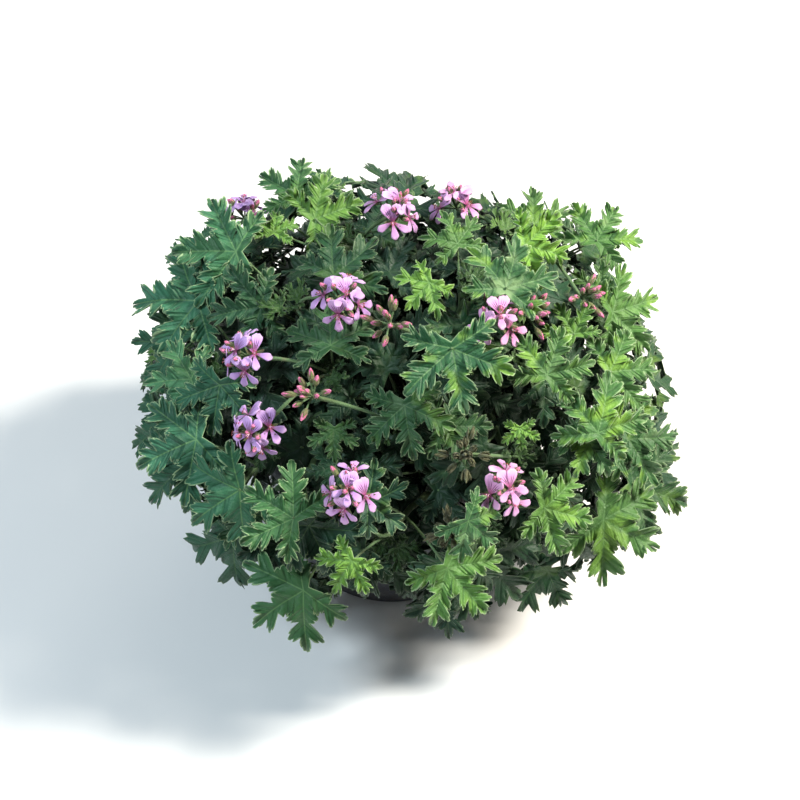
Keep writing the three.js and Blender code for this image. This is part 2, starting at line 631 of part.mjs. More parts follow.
// One leaf in one closed shell: a thin folded blade, and the petiole under its heart, with a neck of
// three vertices that the lower face runs in to. Air thickens it, to test that it has room.
function leafSolid(leaf, air = 0) {
  const toWorld = (p, lift) =>
    offset(leaf.place, [leaf.aside, p.x], [leaf.ahead, p.y], [leaf.normal, p.z + lift]);
  const edge = bladeEdge(leaf, leaf.length + air);
  const count = edge.length;
  const underside = -BLADE.thickness - air;
  const radius = PETIOLE.radius + air;
  const petiole = [offset(leaf.place, [leaf.normal, -BLADE.thickness]), leaf.node];
  const rings = ringsAlong(petiole, [radius, radius], PETIOLE.sides, leaf.aside);
  rings[0] = [0, 1, 2].map((i) => {
    const angle = Math.PI / 2 + (2 * Math.PI * i) / PETIOLE.sides;
    return toWorld(vector(radius * Math.cos(angle), radius * Math.sin(angle), underside - PETIOLE.neck), 0);
  });
  const points = [
    toWorld(vector(0, 0, 0), air),
    ...edge.map((p) => toWorld(p, air)),
    ...edge.map((p) => toWorld(p, underside)),
    ...rings.flat(),
  ];
  const [top, bottom, neck] = [1, 1 + count, 1 + 2 * count];
  const third = (p) => Math.floor(((Math.atan2(p.y, p.x) - Math.PI / 6) / (2 * Math.PI) + 2) * 3) % 3;
  const faces = [];
  for (let i = 0; i < count; i++) {
    const j = (i + 1) % count;
    const [here, there] = [neck + third(edge[i]), neck + third(edge[j])];
    faces.push([0, top + i, top + j]);
    faces.push([bottom + i, bottom + j, top + j], [bottom + i, top + j, top + i]);
    faces.push([bottom + j, bottom + i, here]);
    if (here !== there) faces.push([bottom + j, here, there]);
  }
  faces.push(...tubeFaces(neck, 2, PETIOLE.sides));
  faces.push(...capFaces(neck + PETIOLE.sides, PETIOLE.sides, true));
  return shellOf(points, faces);
}

// Whether a leaf with some air round it meets nothing but its own stem, at its foot
function hasRoom(leaf, stem, placed) {
  const wide = leafSolid(leaf, AIR);
  const box = wide.boundingBox();
  const foot = new THREE.SphereGeometry(FOOT_RADIUS, 8, 6);
  const beyondFoot = wide.subtract(solidOf(foot.translate(...leaf.node.toArray())));
  const isNear = (other) =>
    [0, 1, 2].every((k) => box.min[k] < other.max[k] && other.min[k] < box.max[k]);
  return placed.every((one) => {
    if (!isNear(one.box)) return true;
    return (one.owner === stem ? beyondFoot : wide).intersect(one.solid).isEmpty();
  });
}

// An umbel's pose: the heart where its pedicels meet, its stalk's path and its flower heads
function umbelPose(umbel, shoot) {
  const heart = fromCrown(umbel);
  const foot = stemPoint(shoot, UMBEL.foot);
  const leaving = blend([shoot.curve.getTangent(UMBEL.foot), 1], [UP, 0.5]);
  const bend = offset(foot, [leaving, foot.distanceTo(heart) * 0.5]);
  const stalk = new THREE.QuadraticBezierCurve3(heart, bend, foot);
  const outward = direction(umbel.azimuth, umbel.rise);
  const axis = blend([stalk.getTangent(0), -0.6], [outward, 1], [SUN, 0.8]);
  const aside = across(vector(0.2, 1, 0.1), axis);
  const second = axis.clone().cross(aside);
  const heads = Array.from({ length: umbel.florets }, (_, k) => {
    const seed = 31 * Number(umbel.name) + k;
    const spin = (2 * Math.PI * (k - 1)) / (umbel.florets - 1) + 0.25 * scatter(seed, 1);
    const splay = radians(k === 0 ? 6 : UMBEL.splay + 5 * scatter(seed, 2));
    const flat = [Math.sin(splay) * Math.cos(spin), Math.sin(splay) * Math.sin(spin)];
    const heading = blend([axis, Math.cos(splay)], [aside, flat[0]], [second, flat[1]]);
    const pedicel = UMBEL.pedicel * (k === 0 ? 1.1 : 1 + 0.1 * scatter(seed, 3));
    return { place: offset(heart, [heading, pedicel]), normal: blend([heading, 1], [axis, 0.35]) };
  });
  return { heart, stalk, axis, heads };
}

// The green of an umbel: its stalk, its pedicels and, on a young or faded one, its buds
function umbelGreen(umbel, pose) {
  const path = [];
  for (let k = 0; k <= UMBEL.segments; k++) path.push(pose.stalk.getPoint(k / UMBEL.segments));
  path[0].add(pose.axis);
  const radii = path.map((_, k) => (k === 0 ? UMBEL.heartRadius : UMBEL.stalkRadius));
  const pieces = [tube(path, radii, 3)];
  const isOpen = umbel.kind === "open";
  for (const head of pose.heads) {
    const drop = isOpen ? FLORET.thickness + PEDICEL.seat : BUD.drop;
    const end = offset(head.place, [head.normal, -drop]);
    const heading = end.clone().sub(pose.heart).normalize();
    const foot = offset(pose.heart, [heading, PEDICEL.start]);
    const at = (share) => offset(end, [heading, share * BUD.length]);
    const pedicel = isOpen
      ? tube([offset(end, [heading, -PEDICEL.radius * 0.6]), foot], [PEDICEL.radius, PEDICEL.radius], 3)
      : tube([at(1), at(0.45), at(-0.1), foot], [BUD.tip, BUD.radius, PEDICEL.radius, PEDICEL.radius], 3);
    pieces.push(pedicel);
  }
  return wasm.Manifold.union(pieces);
}

// A floret's five petals in one thin cupped shell
function floretSolid({ place, normal }) {
  const top = across(UP, normal);
  const aside = top.clone().cross(normal);
  const edge = PETALS.flatMap((petal, k) => {
    const next = k + 1 < PETALS.length ? PETALS[k + 1].angle : PETALS[0].angle - 360;
    return [
      [petal.angle, petal.reach],
      [(petal.angle + next) / 2, FLORET.throat],
    ];
  });
  const toWorld = ([angle, reach], lift) => {
    const [x, y] = [reach * Math.sin(radians(angle)), reach * Math.cos(radians(angle))];
    return offset(place, [aside, x], [top, y], [normal, FLORET.cup * reach + lift]);
  };
  const sheet = [[0, 0], ...edge];
  const points = [0, -FLORET.thickness].flatMap((lift) => sheet.map((p) => toWorld(p, lift)));
  const under = sheet.length;
  const faces = [];
  for (let i = 1; i <= edge.length; i++) {
    const j = (i % edge.length) + 1;
    faces.push([0, i, j], [under, under + j, under + i]);
    faces.push([under + i, under + j, j], [under + i, j, i]);
  }
  return shellOf(points, faces);
}

function umbelPink(pose) {
  return wasm.Manifold.union(pose.heads.map(floretSolid));
}

function turned(profile, sides) {
  const points = profile.map(([radius, height]) => new THREE.Vector2(radius, height));
  return solidOf(new THREE.LatheGeometry(points, sides).rotateX(Math.PI / 2));
}

function wallRadius(height) {
  return lerp(POT.baseRadius, POT.rimRadius - RIM.step, height / POT.height);
}

function makePot() {
  const bandFoot = POT.height - RIM.band;
  const body = turned(
    [
      [0, 0],
      [POT.baseRadius - RIM.edge, 0],
      [wallRadius(RIM.edge), RIM.edge],
      [wallRadius(bandFoot), bandFoot],
      [wallRadius(bandFoot) + RIM.step, bandFoot + RIM.edge],
      [POT.rimRadius, POT.height - RIM.edge],
      [POT.rimRadius - RIM.edge, POT.height],
      [wallRadius(POT.height) - POT.wall, POT.height],
      [wallRadius(POT.floor) - POT.wall, POT.floor],
      [0, POT.floor],
    ],
    POT.sides,
  );
  const drains = Array.from({ length: DRAIN.count }, (_, k) => {
    const angle = (2 * Math.PI * (k + 0.5)) / DRAIN.count;
    const hole = new THREE.CylinderGeometry(DRAIN.radius, DRAIN.radius, 2 * POT.floor, DRAIN.sides);
    hole.rotateX(Math.PI / 2);
    return solidOf(hole.translate(DRAIN.ring * Math.cos(angle), DRAIN.ring * Math.sin(angle), 0));
  });
  return body.subtract(wasm.Manifold.union(drains));
}

function makeSoil(shoots) {
  const flatShare = Math.cos(Math.PI / POT.sides);
  const fit = (height) => (wallRadius(height) - POT.wall) * flatShare - SOIL.gap;
  const foot = POT.floor + SOIL.lift;
  const profile = [
    [0, foot],
    [fit(foot), foot],
    [fit(SOIL.edgeHeight), SOIL.edgeHeight],
    [0, SOIL.crownHeight],
  ];
  const holes = shoots.filter((shoot) => shoot.isMain).map(rootHole);
  return turned(profile, SOIL.sides).subtract(wasm.Manifold.union(holes));
}

// The plant: stems and umbels first, then the front leaves and the rest, each moved until it has room
function makePlant(shoots, pot, soil) {
  const greens = new Map(Object.keys(ROOTS).map((stem) => [stem, []]));
  const pinks = new Map();
  const placed = [];
  const place = (owner, solid) => {
    placed.push({ owner, solid, box: solid.boundingBox() });
    greens.get(owner)?.push(solid);
  };
  place("pot", pot);
  place("soil", soil);
  for (const shoot of shoots) place(shoot.stem, stemTube(shoot));
  for (const umbel of UMBELS) {
    const shoot = shoots.find((one) => one.name === umbel.shoot);
    const pose = umbelPose(umbel, shoot);
    place(shoot.stem, umbelGreen(umbel, pose));
    if (umbel.kind !== "open") continue;
    pinks.set(umbel.name, umbelPink(pose));
    place("petals", pinks.get(umbel.name));
  }
  const nodes = frontNodes(shoots);
  const front = [];
  FRONT_LEAVES.forEach((leaf, number) => {
    const roomy = frontPoses(leaf, number, nodes).find((pose) => hasRoom(pose, pose.stem, placed));
    if (!roomy) return;
    front.push(roomy);
    place(roomy.stem, leafSolid(roomy));
  });
  const most = Math.max(...shoots.map((shoot) => shoot.leaves));
  for (let leafNumber = 0; leafNumber < most; leafNumber++) {
    for (const shoot of shoots.filter((one) => leafNumber < one.leaves)) {
      const poses = BENDS.map((bend) => leafPose(shoot, leafNumber, bend));
      const roomy = poses.find((leaf) => !hides(leaf, front) && hasRoom(leaf, shoot.stem, placed));
      if (roomy) place(shoot.stem, leafSolid(roomy));
    }
  }
  return { greens, pinks };
}

function nodeMesh(name, solid, look) {
  const mesh = new THREE.Mesh(geometryOf(solid), new THREE.MeshStandardMaterial(look));
  mesh.name = name;
  return mesh;
}

const shoots = growShoots();
const pot = makePot();
const soil = makeSoil(shoots);
const { greens, pinks } = makePlant(shoots, pot, soil);
const plant = new THREE.Group();
plant.add(nodeMesh("pot", pot, LOOKS.pot), nodeMesh("soil", soil, LOOKS.soil));
for (const [stem, pieces] of greens) {
  plant.add(nodeMesh(`leafy_stem_${stem}`, wasm.Manifold.union(pieces), LOOKS.leaf));
}
for (const [umbel, petals] of pinks) {
  plant.add(nodeMesh(`umbel_petals_${umbel}`, petals, LOOKS.petal));
}

export default plant;
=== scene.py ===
# %% [markdown]
# # A potted rose-scented geranium
# The plain solids of this plant are already there: a pot, its soil, ten leafy stems, and the petals
# of nine umbels. This notebook dresses them. Each solid gives way to a finer piece that keeps its
# place and its form, with cut and toothed leaves, real petals, hairs, veins and worn plastic.

# %% Load the plain solids
import math

import bpy
import numpy as np
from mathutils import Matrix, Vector, noise
from mathutils.bvhtree import BVHTree
from mathutils.kdtree import KDTree


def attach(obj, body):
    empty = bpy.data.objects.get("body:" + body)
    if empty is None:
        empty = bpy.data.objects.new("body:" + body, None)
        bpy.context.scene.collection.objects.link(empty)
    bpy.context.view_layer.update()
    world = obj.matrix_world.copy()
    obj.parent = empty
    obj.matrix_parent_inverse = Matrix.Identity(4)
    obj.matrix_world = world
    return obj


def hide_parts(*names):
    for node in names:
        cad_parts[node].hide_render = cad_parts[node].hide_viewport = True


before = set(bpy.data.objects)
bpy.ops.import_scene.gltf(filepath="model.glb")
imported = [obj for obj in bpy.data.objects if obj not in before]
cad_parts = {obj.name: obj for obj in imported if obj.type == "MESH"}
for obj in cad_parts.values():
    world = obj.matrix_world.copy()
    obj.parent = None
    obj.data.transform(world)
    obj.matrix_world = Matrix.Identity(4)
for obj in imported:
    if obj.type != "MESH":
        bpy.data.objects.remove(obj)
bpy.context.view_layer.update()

# %% [markdown]
# ## Small helpers
# The plan of the plant is worked out in millimetres, as a grower would measure it, and a mesh gets
# its vertices in metres at the end. An operator acts on all that is selected, so everything is
# deselected before each new piece, and one piece is made the active one.

# %% Selecting and shaping
MM = 0.001


def deselect_all():
    bpy.ops.object.select_all(action="DESELECT")


def activate(piece):
    deselect_all()
    piece.select_set(True)
    bpy.context.view_layer.objects.active = piece
    return piece


def vertices_of(piece):
    flat = np.zeros(len(piece.data.vertices) * 3)
    piece.data.vertices.foreach_get("co", flat)
    return flat.reshape(-1, 3)


def set_vertices(piece, points):
    piece.data.vertices.foreach_set("co", np.asarray(points, np.float32).ravel())
    piece.data.update()


def set_point_values(piece, name, values):
    layer = piece.data.attributes.get(name) or piece.data.attributes.new(name, "FLOAT", "POINT")
    count = len(piece.data.vertices)
    layer.data.foreach_set("value", np.broadcast_to(np.asarray(values, np.float32), count).copy())


def point_values(piece, name):
    values = np.zeros(len(piece.data.vertices), np.float32)
    piece.data.attributes[name].data.foreach_get("value", values)
    return values


def join(pieces, name):
    activate(pieces[0])
    for piece in pieces:
        piece.select_set(True)
    bpy.ops.object.join()
    joined = bpy.context.object
    joined.name = joined.data.name = name
    return joined


def apply_modifiers(piece):
    activate(piece)
    for modifier in list(piece.modifiers):
        bpy.ops.object.modifier_apply(modifier=modifier.name)
    return piece


def copy_of(pattern):
    """Another object like the pattern, with a mesh of its own."""
    twin = pattern.copy()
    twin.data = pattern.data.copy()
    bpy.context.scene.collection.objects.link(twin)
    return twin


def finish_piece(piece, nodes, material):
    """A finished piece rides with the pot and stands for its plain solids."""
    piece.data.materials.clear()
    piece.data.materials.append(material)
    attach(piece, "root")
    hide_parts(*nodes)
    print(piece.name, len(piece.data.polygons), "faces")


# %% [markdown]
# ## Vectors and curves
# Every shoot is a Bezier curve, and a leaf stands on it in a frame of its own. These few functions
# are all the geometry that the plan needs. `scatter` gives a number from -1 to 1 that is always the
# same for the same two seeds, so the plant grows alike each time. Each leaf, flower head and crumb
# takes its seed from its own number.

# %% Vectors and seeds


def scatter(a, b):
    wide = math.sin(a * 12.9898 + b * 78.233) * 43758.5453
    return 2 * (wide - math.floor(wide)) - 1


def vector(*values):
    return np.array(values, float)


def unit(v):
    return v / np.linalg.norm(v)


def direction(azimuth, rise):
    level = math.cos(math.radians(rise))
    turn = math.radians(azimuth)
    return vector(level * math.cos(turn), level * math.sin(turn), math.sin(math.radians(rise)))


def blend(*pairs):
    """The sum of vectors, each times its weight, as a unit vector."""
    return unit(sum(part * weight for part, weight in pairs))


def across(v, n):
    """The part of v that lies across the unit vector n, as a unit vector."""
    return unit(v - n * (v @ n))


# %% A curve and the directions round it


class Bezier:
    """A Bezier curve through its first and last points."""

    def __init__(self, *points):
        self.points = [np.asarray(p, float) for p in points]

    def point(self, t):
        row = self.points
        while len(row) > 1:
            row = [a + (b - a) * t for a, b in zip(row, row[1:])]
        return row[0]

    def tangent(self, t, step=1e-4):
        return unit(self.point(min(t + step, 1)) - self.point(max(t - step, 0)))

    def length(self, steps=200):
        points = np.array([self.point(k / steps) for k in range(steps + 1)])
        return np.linalg.norm(np.diff(points, axis=0), axis=1).sum()


def around(axis, hint, turn):
    """A direction square to the axis, turned round it from the side that the hint is on."""
    first = across(hint, axis)
    return first * math.cos(turn) + np.cross(axis, first) * math.sin(turn)


def splayed(axis, hint, turn, splay):
    """The direction that leaves the axis by the angle splay, on the side at that turn."""
    return blend((axis, math.cos(splay)), (around(axis, hint, turn), math.sin(splay)))


UP = vector(0, 0, 1)
print("scatter(1, 2) =", round(scatter(1, 2), 4))

# %% [markdown]
# ## The plan of the plant
# Ten stems are rooted in the pot and branch into thirty shoots, laid out round the crown of the
# bush. A shoot is named by its stem and a number, and then come the azimuth and the rise of its tip,
# seen from the crown, its reach, and the rise of the direction it grows in there. These are the
# values that the plain solids were made from, so what is grown here falls on the solids.

# %% Pot, crown and stems
POT = {"height": 150, "base": 80, "rim": 107, "wall": 3, "floor": 4, "band": 20, "step": 3}
DRAIN = {"count": 4, "radius": 6, "ring": 52}
SOIL = {"edge": 135, "crown": 142, "gap": 0.5}
CROWN = vector(15, 0, 150)
SUN = unit(vector(0.12, -0.45, 0.88))
# Each stem's azimuth in the pot and its distance from the middle
ROOTS = {
    "a": (115, 18), "b": (20, 34), "c": (200, 36), "d": (262, 20), "e": (322, 46),
    "f": (155, 58), "g": (70, 58), "h": (235, 62), "i": (285, 64), "j": (350, 70),
}
SHOOTS = {
    "a1": (160, 74, 150, 80), "a2": (92, 42, 130, 50),
    "b1": (22, 60, 158, 66), "b2": (5, 28, 158, 36), "b3": (32, 34, 156, 44), "b4": (50, 10, 164, 14),
    "c1": (204, 56, 156, 64), "c2": (204, 30, 168, 38), "c3": (194, 3, 170, 4),
    "d1": (286, 56, 154, 66), "d2": (262, 40, 156, 50), "d3": (318, 70, 150, 76),
    "e1": (314, 44, 158, 52), "e2": (328, 24, 168, 30), "e3": (298, 27, 160, 34),
    "f1": (129, 46, 160, 58), "f2": (158, 31, 184, 40), "f3": (173, 15, 186, 20), "f4": (134, 12, 166, 16),
    "g1": (72, 14, 160, 22), "g2": (102, 8, 158, 4),
    "h1": (238, 48, 152, 58), "h2": (245, -11, 156, -50), "h3": (220, 8, 164, -8), "h4": (240, 18, 160, 14),
    "i1": (288, 14, 158, 14), "i2": (280, -8, 146, -50), "i3": (264, 10, 158, 0),
    "j1": (338, -2, 170, -16), "j2": (319, -5, 168, -30),
}
print(len(ROOTS), "stems and", len(SHOOTS), "shoots")

# %% Shoots as curves
LEAVES_PER_SHOOT = 3
GROWTH = {"lean": 0.22, "climb": 0.4, "arch": 0.3, "hanging_arch": 0.5, "hanging_below": -20}
BRANCH = {"first": 0.34, "step": 0.14, "lowest_rise": 30, "pull": 0.8}
NODE = {"first": 7, "step": 11}


class Shoot:
    """A shoot's curve from its foot, in the soil or on its main shoot, to its tip."""

    def __init__(self, name, number, main):
        azimuth, rise, reach, heading = SHOOTS[name]
        self.stem, self.number, self.is_main = name[0], number, main is None
        if main:
            t = BRANCH["first"] + BRANCH["step"] * main.branches
            main.branches += 1
            outward = direction(azimuth, max(rise, BRANCH["lowest_rise"]))
            foot = main.curve.point(t)
            leaving = blend((main.curve.tangent(t), 1), (outward, BRANCH["pull"]))
        else:
            self.branches = 0
            angle, distance = ROOTS[self.stem]
            foot = direction(angle, 0) * distance + UP * SOIL["crown"]
            leaving = blend((UP, 1), (direction(azimuth, 0), GROWTH["lean"]))
        tip = CROWN + direction(azimuth, rise) * reach
        span = np.linalg.norm(tip - foot)
        arch = GROWTH["hanging_arch"] if heading < GROWTH["hanging_below"] else GROWTH["arch"]
        climb, arrival = leaving * span * GROWTH["climb"], direction(azimuth, heading) * span * arch
        self.curve = Bezier(foot, foot + climb, tip - arrival, tip)
        self.length = self.curve.length()

    def node_share(self, leaf_number):
        """How far along the shoot a leaf's node is. The first leaf is the one nearest to the tip."""
        return 1 - (NODE["first"] + NODE["step"] * leaf_number) / self.length

    def point(self, t):
        """Along the curve, and straight from the lowest leaf's node to the tip."""
        last = self.node_share(LEAVES_PER_SHOOT - 1)
        if t <= last:
            return self.curve.point(t)
        start, end = self.curve.point(last), self.curve.point(1)
        return start + (end - start) * (t - last) / (1 - last)


def grow_shoots():
    mains, shoots = {}, {}
    for number, name in enumerate(SHOOTS):
        shoots[name] = Shoot(name, number, mains.get(name[0]))
        mains.setdefault(name[0], shoots[name])
    return shoots


shoots = grow_shoots()
print("shoot lengths in mm:", sorted(round(s.length) for s in shoots.values())[::6])

# %% [markdown]
# ## Where each leaf stands
# A leaf leaves its shoot at a node, and its petiole carries the blade out to the light. The leaves on
# the front of the bush are laid out in a picture of it, seen from the front and from above, and the
# rest stand in rosettes round the shoots' tips. On the plain solids each leaf was moved a little until
# it was clear of its neighbours. The move that was made is found here again, by looking for the
# corners of the leaf's lobes among the solids' vertices.

# %% A leaf and its coarse outline
# Each lobe's angle from the leaf's tip in degrees, and its reach as a share of the blade's length
LOBES = ((112, 0.76), (57, 0.95), (0, 1.0), (-57, 0.95), (-112, 0.76))
# How far the gaps between the lobes, and the notch at the petiole, are from the heart
SINUS = 0.34
BASE_NOTCH = 0.1
FOLD = 0.34
DROOP = 0.2
TILT = 0.12
# Places along and beside a lobe's rib, as shares of its reach
COARSE_LOBE = ((0.66, 0.3), (1, 0), (0.66, -0.3))
SOLID_LOBE = ((0.84, 0.3), (0.84, -0.3))
SMALL_SOLID_LOBE = ((1, 0),)
SMALL_BLADE = 31


class Leaf:
    """A blade's frame is aside, ahead to its tip, and normal out of its upper face."""

    def __init__(self, node, place, ahead, normal, length, seed, leaving):
        self.node, self.place, self.leaving = node, place, leaving
        self.ahead, self.normal, self.aside = ahead, normal, np.cross(ahead, normal)
        self.length, self.seed, self.age = length, seed, 0.0
        self.fold = FOLD * (1 + 0.3 * scatter(seed, 5))
        self.droop = DROOP * (1 + 0.5 * scatter(seed, 6))
        self.tilt = TILT * scatter(seed, 7)

    def height(self, x, y):
        """Over the heart of the blade: folded up beside each rib, and drooping outwards."""
        reach, heading = np.hypot(x, y), np.arctan2(x, y)
        off_rib = np.min([np.abs(np.radians(angle) - heading) for angle, _ in LOBES], axis=0)
        return self.fold * reach * np.sin(off_rib) - self.droop * reach**2 / self.length + self.tilt * x

    def world(self, x, y, lift):
        z = self.height(x, y) + lift
        return self.place + np.outer(x, self.aside) + np.outer(y, self.ahead) + np.outer(z, self.normal)

    def outline(self, lobe=COARSE_LOBE):
        """The heart and then a coarse edge round the blade, in space."""
        x, y = [0.0, 0.0], [0.0, -BASE_NOTCH]
        for k, (angle, share) in enumerate(LOBES):
            turn = math.radians(angle)
            for along, beside in lobe:
                x.append(share * (along * math.sin(turn) + beside * math.cos(turn)))
                y.append(share * (along * math.cos(turn) - beside * math.sin(turn)))
            if k < len(LOBES) - 1:
                middle = math.radians((angle + LOBES[k + 1][0]) / 2)
                x.append(SINUS * math.sin(middle))
                y.append(SINUS * math.cos(middle))
        return self.world(np.array(x) * self.length, np.array(y) * self.length, 0.0)

    def corners(self):
        """Where the plain solid's blade has its vertices, without the heart."""
        return self.outline(SMALL_SOLID_LOBE if self.length < SMALL_BLADE else SOLID_LOBE)[1:]


print("lobes of a leaf:", len(LOBES))

# %% Leaves round a shoot's tip
ROSETTE = {
    "turn": 137.5, "splay": 34, "splay_step": 11, "petiole": 25, "petiole_step": 9, "bow": 0.55,
    "length": 38, "length_step": 4.5, "longest": 51,
}
SIDE_HINT = vector(0.31, 0.17, 1)
# Ways that a rosette's leaf may be moved: a turn and a splay in degrees, and factors on the lengths
# of its petiole and its blade
BENDS = (
    (0, 0, 1, 1), (20, 0, 1, 1), (-20, 0, 1, 1), (0, 14, 1.15, 1),
    (0, -14, 1.2, 1), (34, 8, 1.1, 0.94), (-34, 8, 1.1, 0.94), (0, 24, 0.85, 0.94),
    (50, -10, 1.3, 0.9), (-50, -10, 1.3, 0.9), (16, 18, 1.4, 0.9), (-16, 18, 1.4, 0.9),
    (68, 6, 0.9, 0.85), (-68, 6, 0.9, 0.85), (28, 30, 1.1, 0.82), (-28, 30, 1.1, 0.82),
)


def facing_leaf(node, place, arriving, facing, length, seed, leaving):
    """A leaf whose upper face turns as far as its petiole lets it."""
    normal = blend((facing, 1), (arriving, 1.3 * max(0, 0.42 - facing @ arriving)))
    return Leaf(node, place, across(arriving, normal), normal, length, seed, leaving)


def leaf_on_shoot(shoot, number, bend):
    turn, splay_more, petiole_factor, length_factor = bend
    seed = 7 * shoot.number + number
    t = shoot.node_share(number)
    node, axis = shoot.point(t), shoot.curve.tangent(t)
    right = across(SIDE_HINT, axis)
    spin = ROSETTE["turn"] * number + 71 * shoot.number + 14 * scatter(seed, 1) + turn
    radial = around(axis, right, math.radians(spin))
    splay = math.radians(ROSETTE["splay"] + ROSETTE["splay_step"] * number + splay_more)
    outward = unit(node - CROWN)
    leaving = blend((axis, math.cos(splay)), (radial, math.sin(splay)), (outward, 0.2))
    arriving = blend((leaving, 1), (outward, 0.25), (UP, 0.1))
    petiole = ROSETTE["petiole"] + ROSETTE["petiole_step"] * number
    petiole *= petiole_factor * (1 + 0.2 * scatter(seed, 8))
    place = node + (leaving * ROSETTE["bow"] + arriving * (1 - ROSETTE["bow"])) * petiole
    facing = blend(
        (unit(place - CROWN), 1),
        (SUN, 0.6),
        (radial, 0.3 * scatter(seed, 2)),
        (right, 0.35 * scatter(seed, 3)),
    )
    length = min(ROSETTE["length"] + ROSETTE["length_step"] * number, ROSETTE["longest"])
    length *= (1 + 0.08 * scatter(seed, 4)) * length_factor
    return facing_leaf(node, place, arriving, facing, length, seed, leaving)


print("leaves in rosettes:", LEAVES_PER_SHOOT * len(SHOOTS), "with", len(BENDS), "ways to stand")

# %% The front leaves in the picture
# A leaf's heart across and up from the middle of the picture, where it points in degrees from the
# right, its length there, its depth as a share of the canopy, and how young and bright it is
FRONT_LEAVES = (
    (-80, 158, 85, 36, 1.04, 0.1), (-66, 142, 20, 40, 0.98, 0.6), (-98, 131, 80, 19, 1, 0.6),
    (-127, 115, 175, 52, 1.04, 0), (-158, 78, 178, 51, 1.02, 0), (-173, 43, 172, 38, 1, 0),
    (-162, 16, 180, 39, 0.98, 0.1), (-140, 12, 255, 41, 1.05, 0), (-158, -31, 200, 52, 1.02, 0),
    (-164, -47, 222, 44, 0.93, 0), (-125, -70, 212, 49, 1, 0), (-83, -92, 148, 46, 1.06, 0.1),
    (-75, -148, 212, 52, 1, 0.1), (-37, -125, 235, 30, 1.05, 0.8), (-16, -118, 308, 44, 0.97, 0.2),
    (-25, -80, 350, 46, 0.97, 0), (37, -131, 312, 47, 1.03, 0.4), (53, -94, 335, 37, 1, 0.1),
    (113, -84, 345, 40, 1, 0.4), (158, -93, 330, 51, 0.97, 0.3), (183, -66, 341, 47, 0.94, 0.1),
    (97, -66, 344, 46, 0.93, 0), (154, -25, 72, 46, 1.05, 0.2), (178, -30, 0, 42, 0.98, 0.1),
    (148, -32, 245, 30, 0.99, 0.2), (115, 20, 70, 40, 1.04, 0.3), (165, 23, 5, 39, 1, 0.3),
    (166, 69, 15, 39, 1, 0.3), (162, 51, 352, 35, 0.95, 0.3), (156, 84, 85, 26, 1, 0.4),
    (154, 125, 60, 35, 1.03, 0.3), (98, 121, 345, 37, 1.04, 1), (104, 138, 88, 30, 0.97, 0.4),
    (84, 88, 92, 48, 0.97, 0.1), (45, 122, 112, 30, 1, 0.3), (23, 92, 225, 27, 1.04, 0.6),
    (41, 41, 281, 52, 1.06, 0), (34, -20, 0, 39, 0.97, 0.2), (4, -4, 262, 48, 0.86, 0),
    (94, -22, 275, 18, 1, 0.7), (-51, 97, 40, 45, 0.93, 0), (-108, 73, 188, 42, 0.93, 0),
    (-51, -23, 268, 24, 0.95, 0.2), (-95, -112, 195, 35, 0.9, 0), (-33, -53, 5, 36, 0.93, 0),
    (-156, -8, 185, 32, 0.94, 0), (-122, -88, 238, 34, 0.92, 0), (-8, 100, 60, 36, 0.93, 0),
    (136, 52, 120, 28, 0.98, 0.6), (-108, -35, 265, 19, 0.95, 0.2), (-52, -52, 195, 24, 0.92, 0),
    (-39, 2, 200, 44, 0.78, 0), (-82, 26, 130, 42, 0.8, 0), (-6, 42, 100, 44, 0.8, 0),
    (64, -40, 330, 46, 0.8, 0), (30, -70, 20, 42, 0.85, 0), (108, -20, 170, 44, 0.82, 0),
    (60, 8, 30, 40, 0.82, 0),
)
# Ways that a front leaf may be moved: a factor on its depth, a turn in degrees and a factor on its
# length
SHIFTS = (
    (1, 0, 1), (0.95, 0, 1), (1.05, 0, 1), (0.9, 0, 1), (1.1, 0, 1), (1, 14, 0.95), (1, -14, 0.95),
    (1.07, 10, 0.95), (1.07, -10, 0.95), (0.85, 0, 1), (0.93, 18, 0.9), (0.93, -18, 0.9),
    (1.12, 16, 0.9), (1.12, -16, 0.9), (0.86, 20, 0.85), (0.86, -20, 0.85), (1.02, 32, 0.8),
    (1.02, -32, 0.8), (0.78, 0, 0.9), (0.78, 40, 0.8), (0.78, -40, 0.8),
)
print("leaves laid out in the picture:", len(FRONT_LEAVES))

# %% From the picture into space
CANOPY = vector(205, 185, 172)
RIGHT = vector(1, 0, 0)
PICTURE_MIDDLE = vector(7, 2, 152)
PICTURE_RISE = 45
PICTURE_UP = direction(90, PICTURE_RISE)
EYE_DISTANCE = 1020
EYE = PICTURE_MIDDLE + direction(-90, PICTURE_RISE) * EYE_DISTANCE
# Shares of the outward direction, the sun, the eye and a random sway in the way a leaf faces
FACING = {"outward": 0.7, "sun": 0.4, "eye": 0.9, "sway": 0.32}
LONGEST_FRONT_LEAF = 57


def on_canopy(aside, up, share):
    """The place where the line of sight through a point of the picture meets the canopy."""
    sight = unit(PICTURE_MIDDLE + RIGHT * aside + PICTURE_UP * up - EYE)
    start, step = (EYE - CROWN) / CANOPY, sight / CANOPY
    a, b, c = step @ step, start @ step, start @ start - share**2
    return EYE + sight * (-b - math.sqrt(max(0, b * b - a * c))) / a


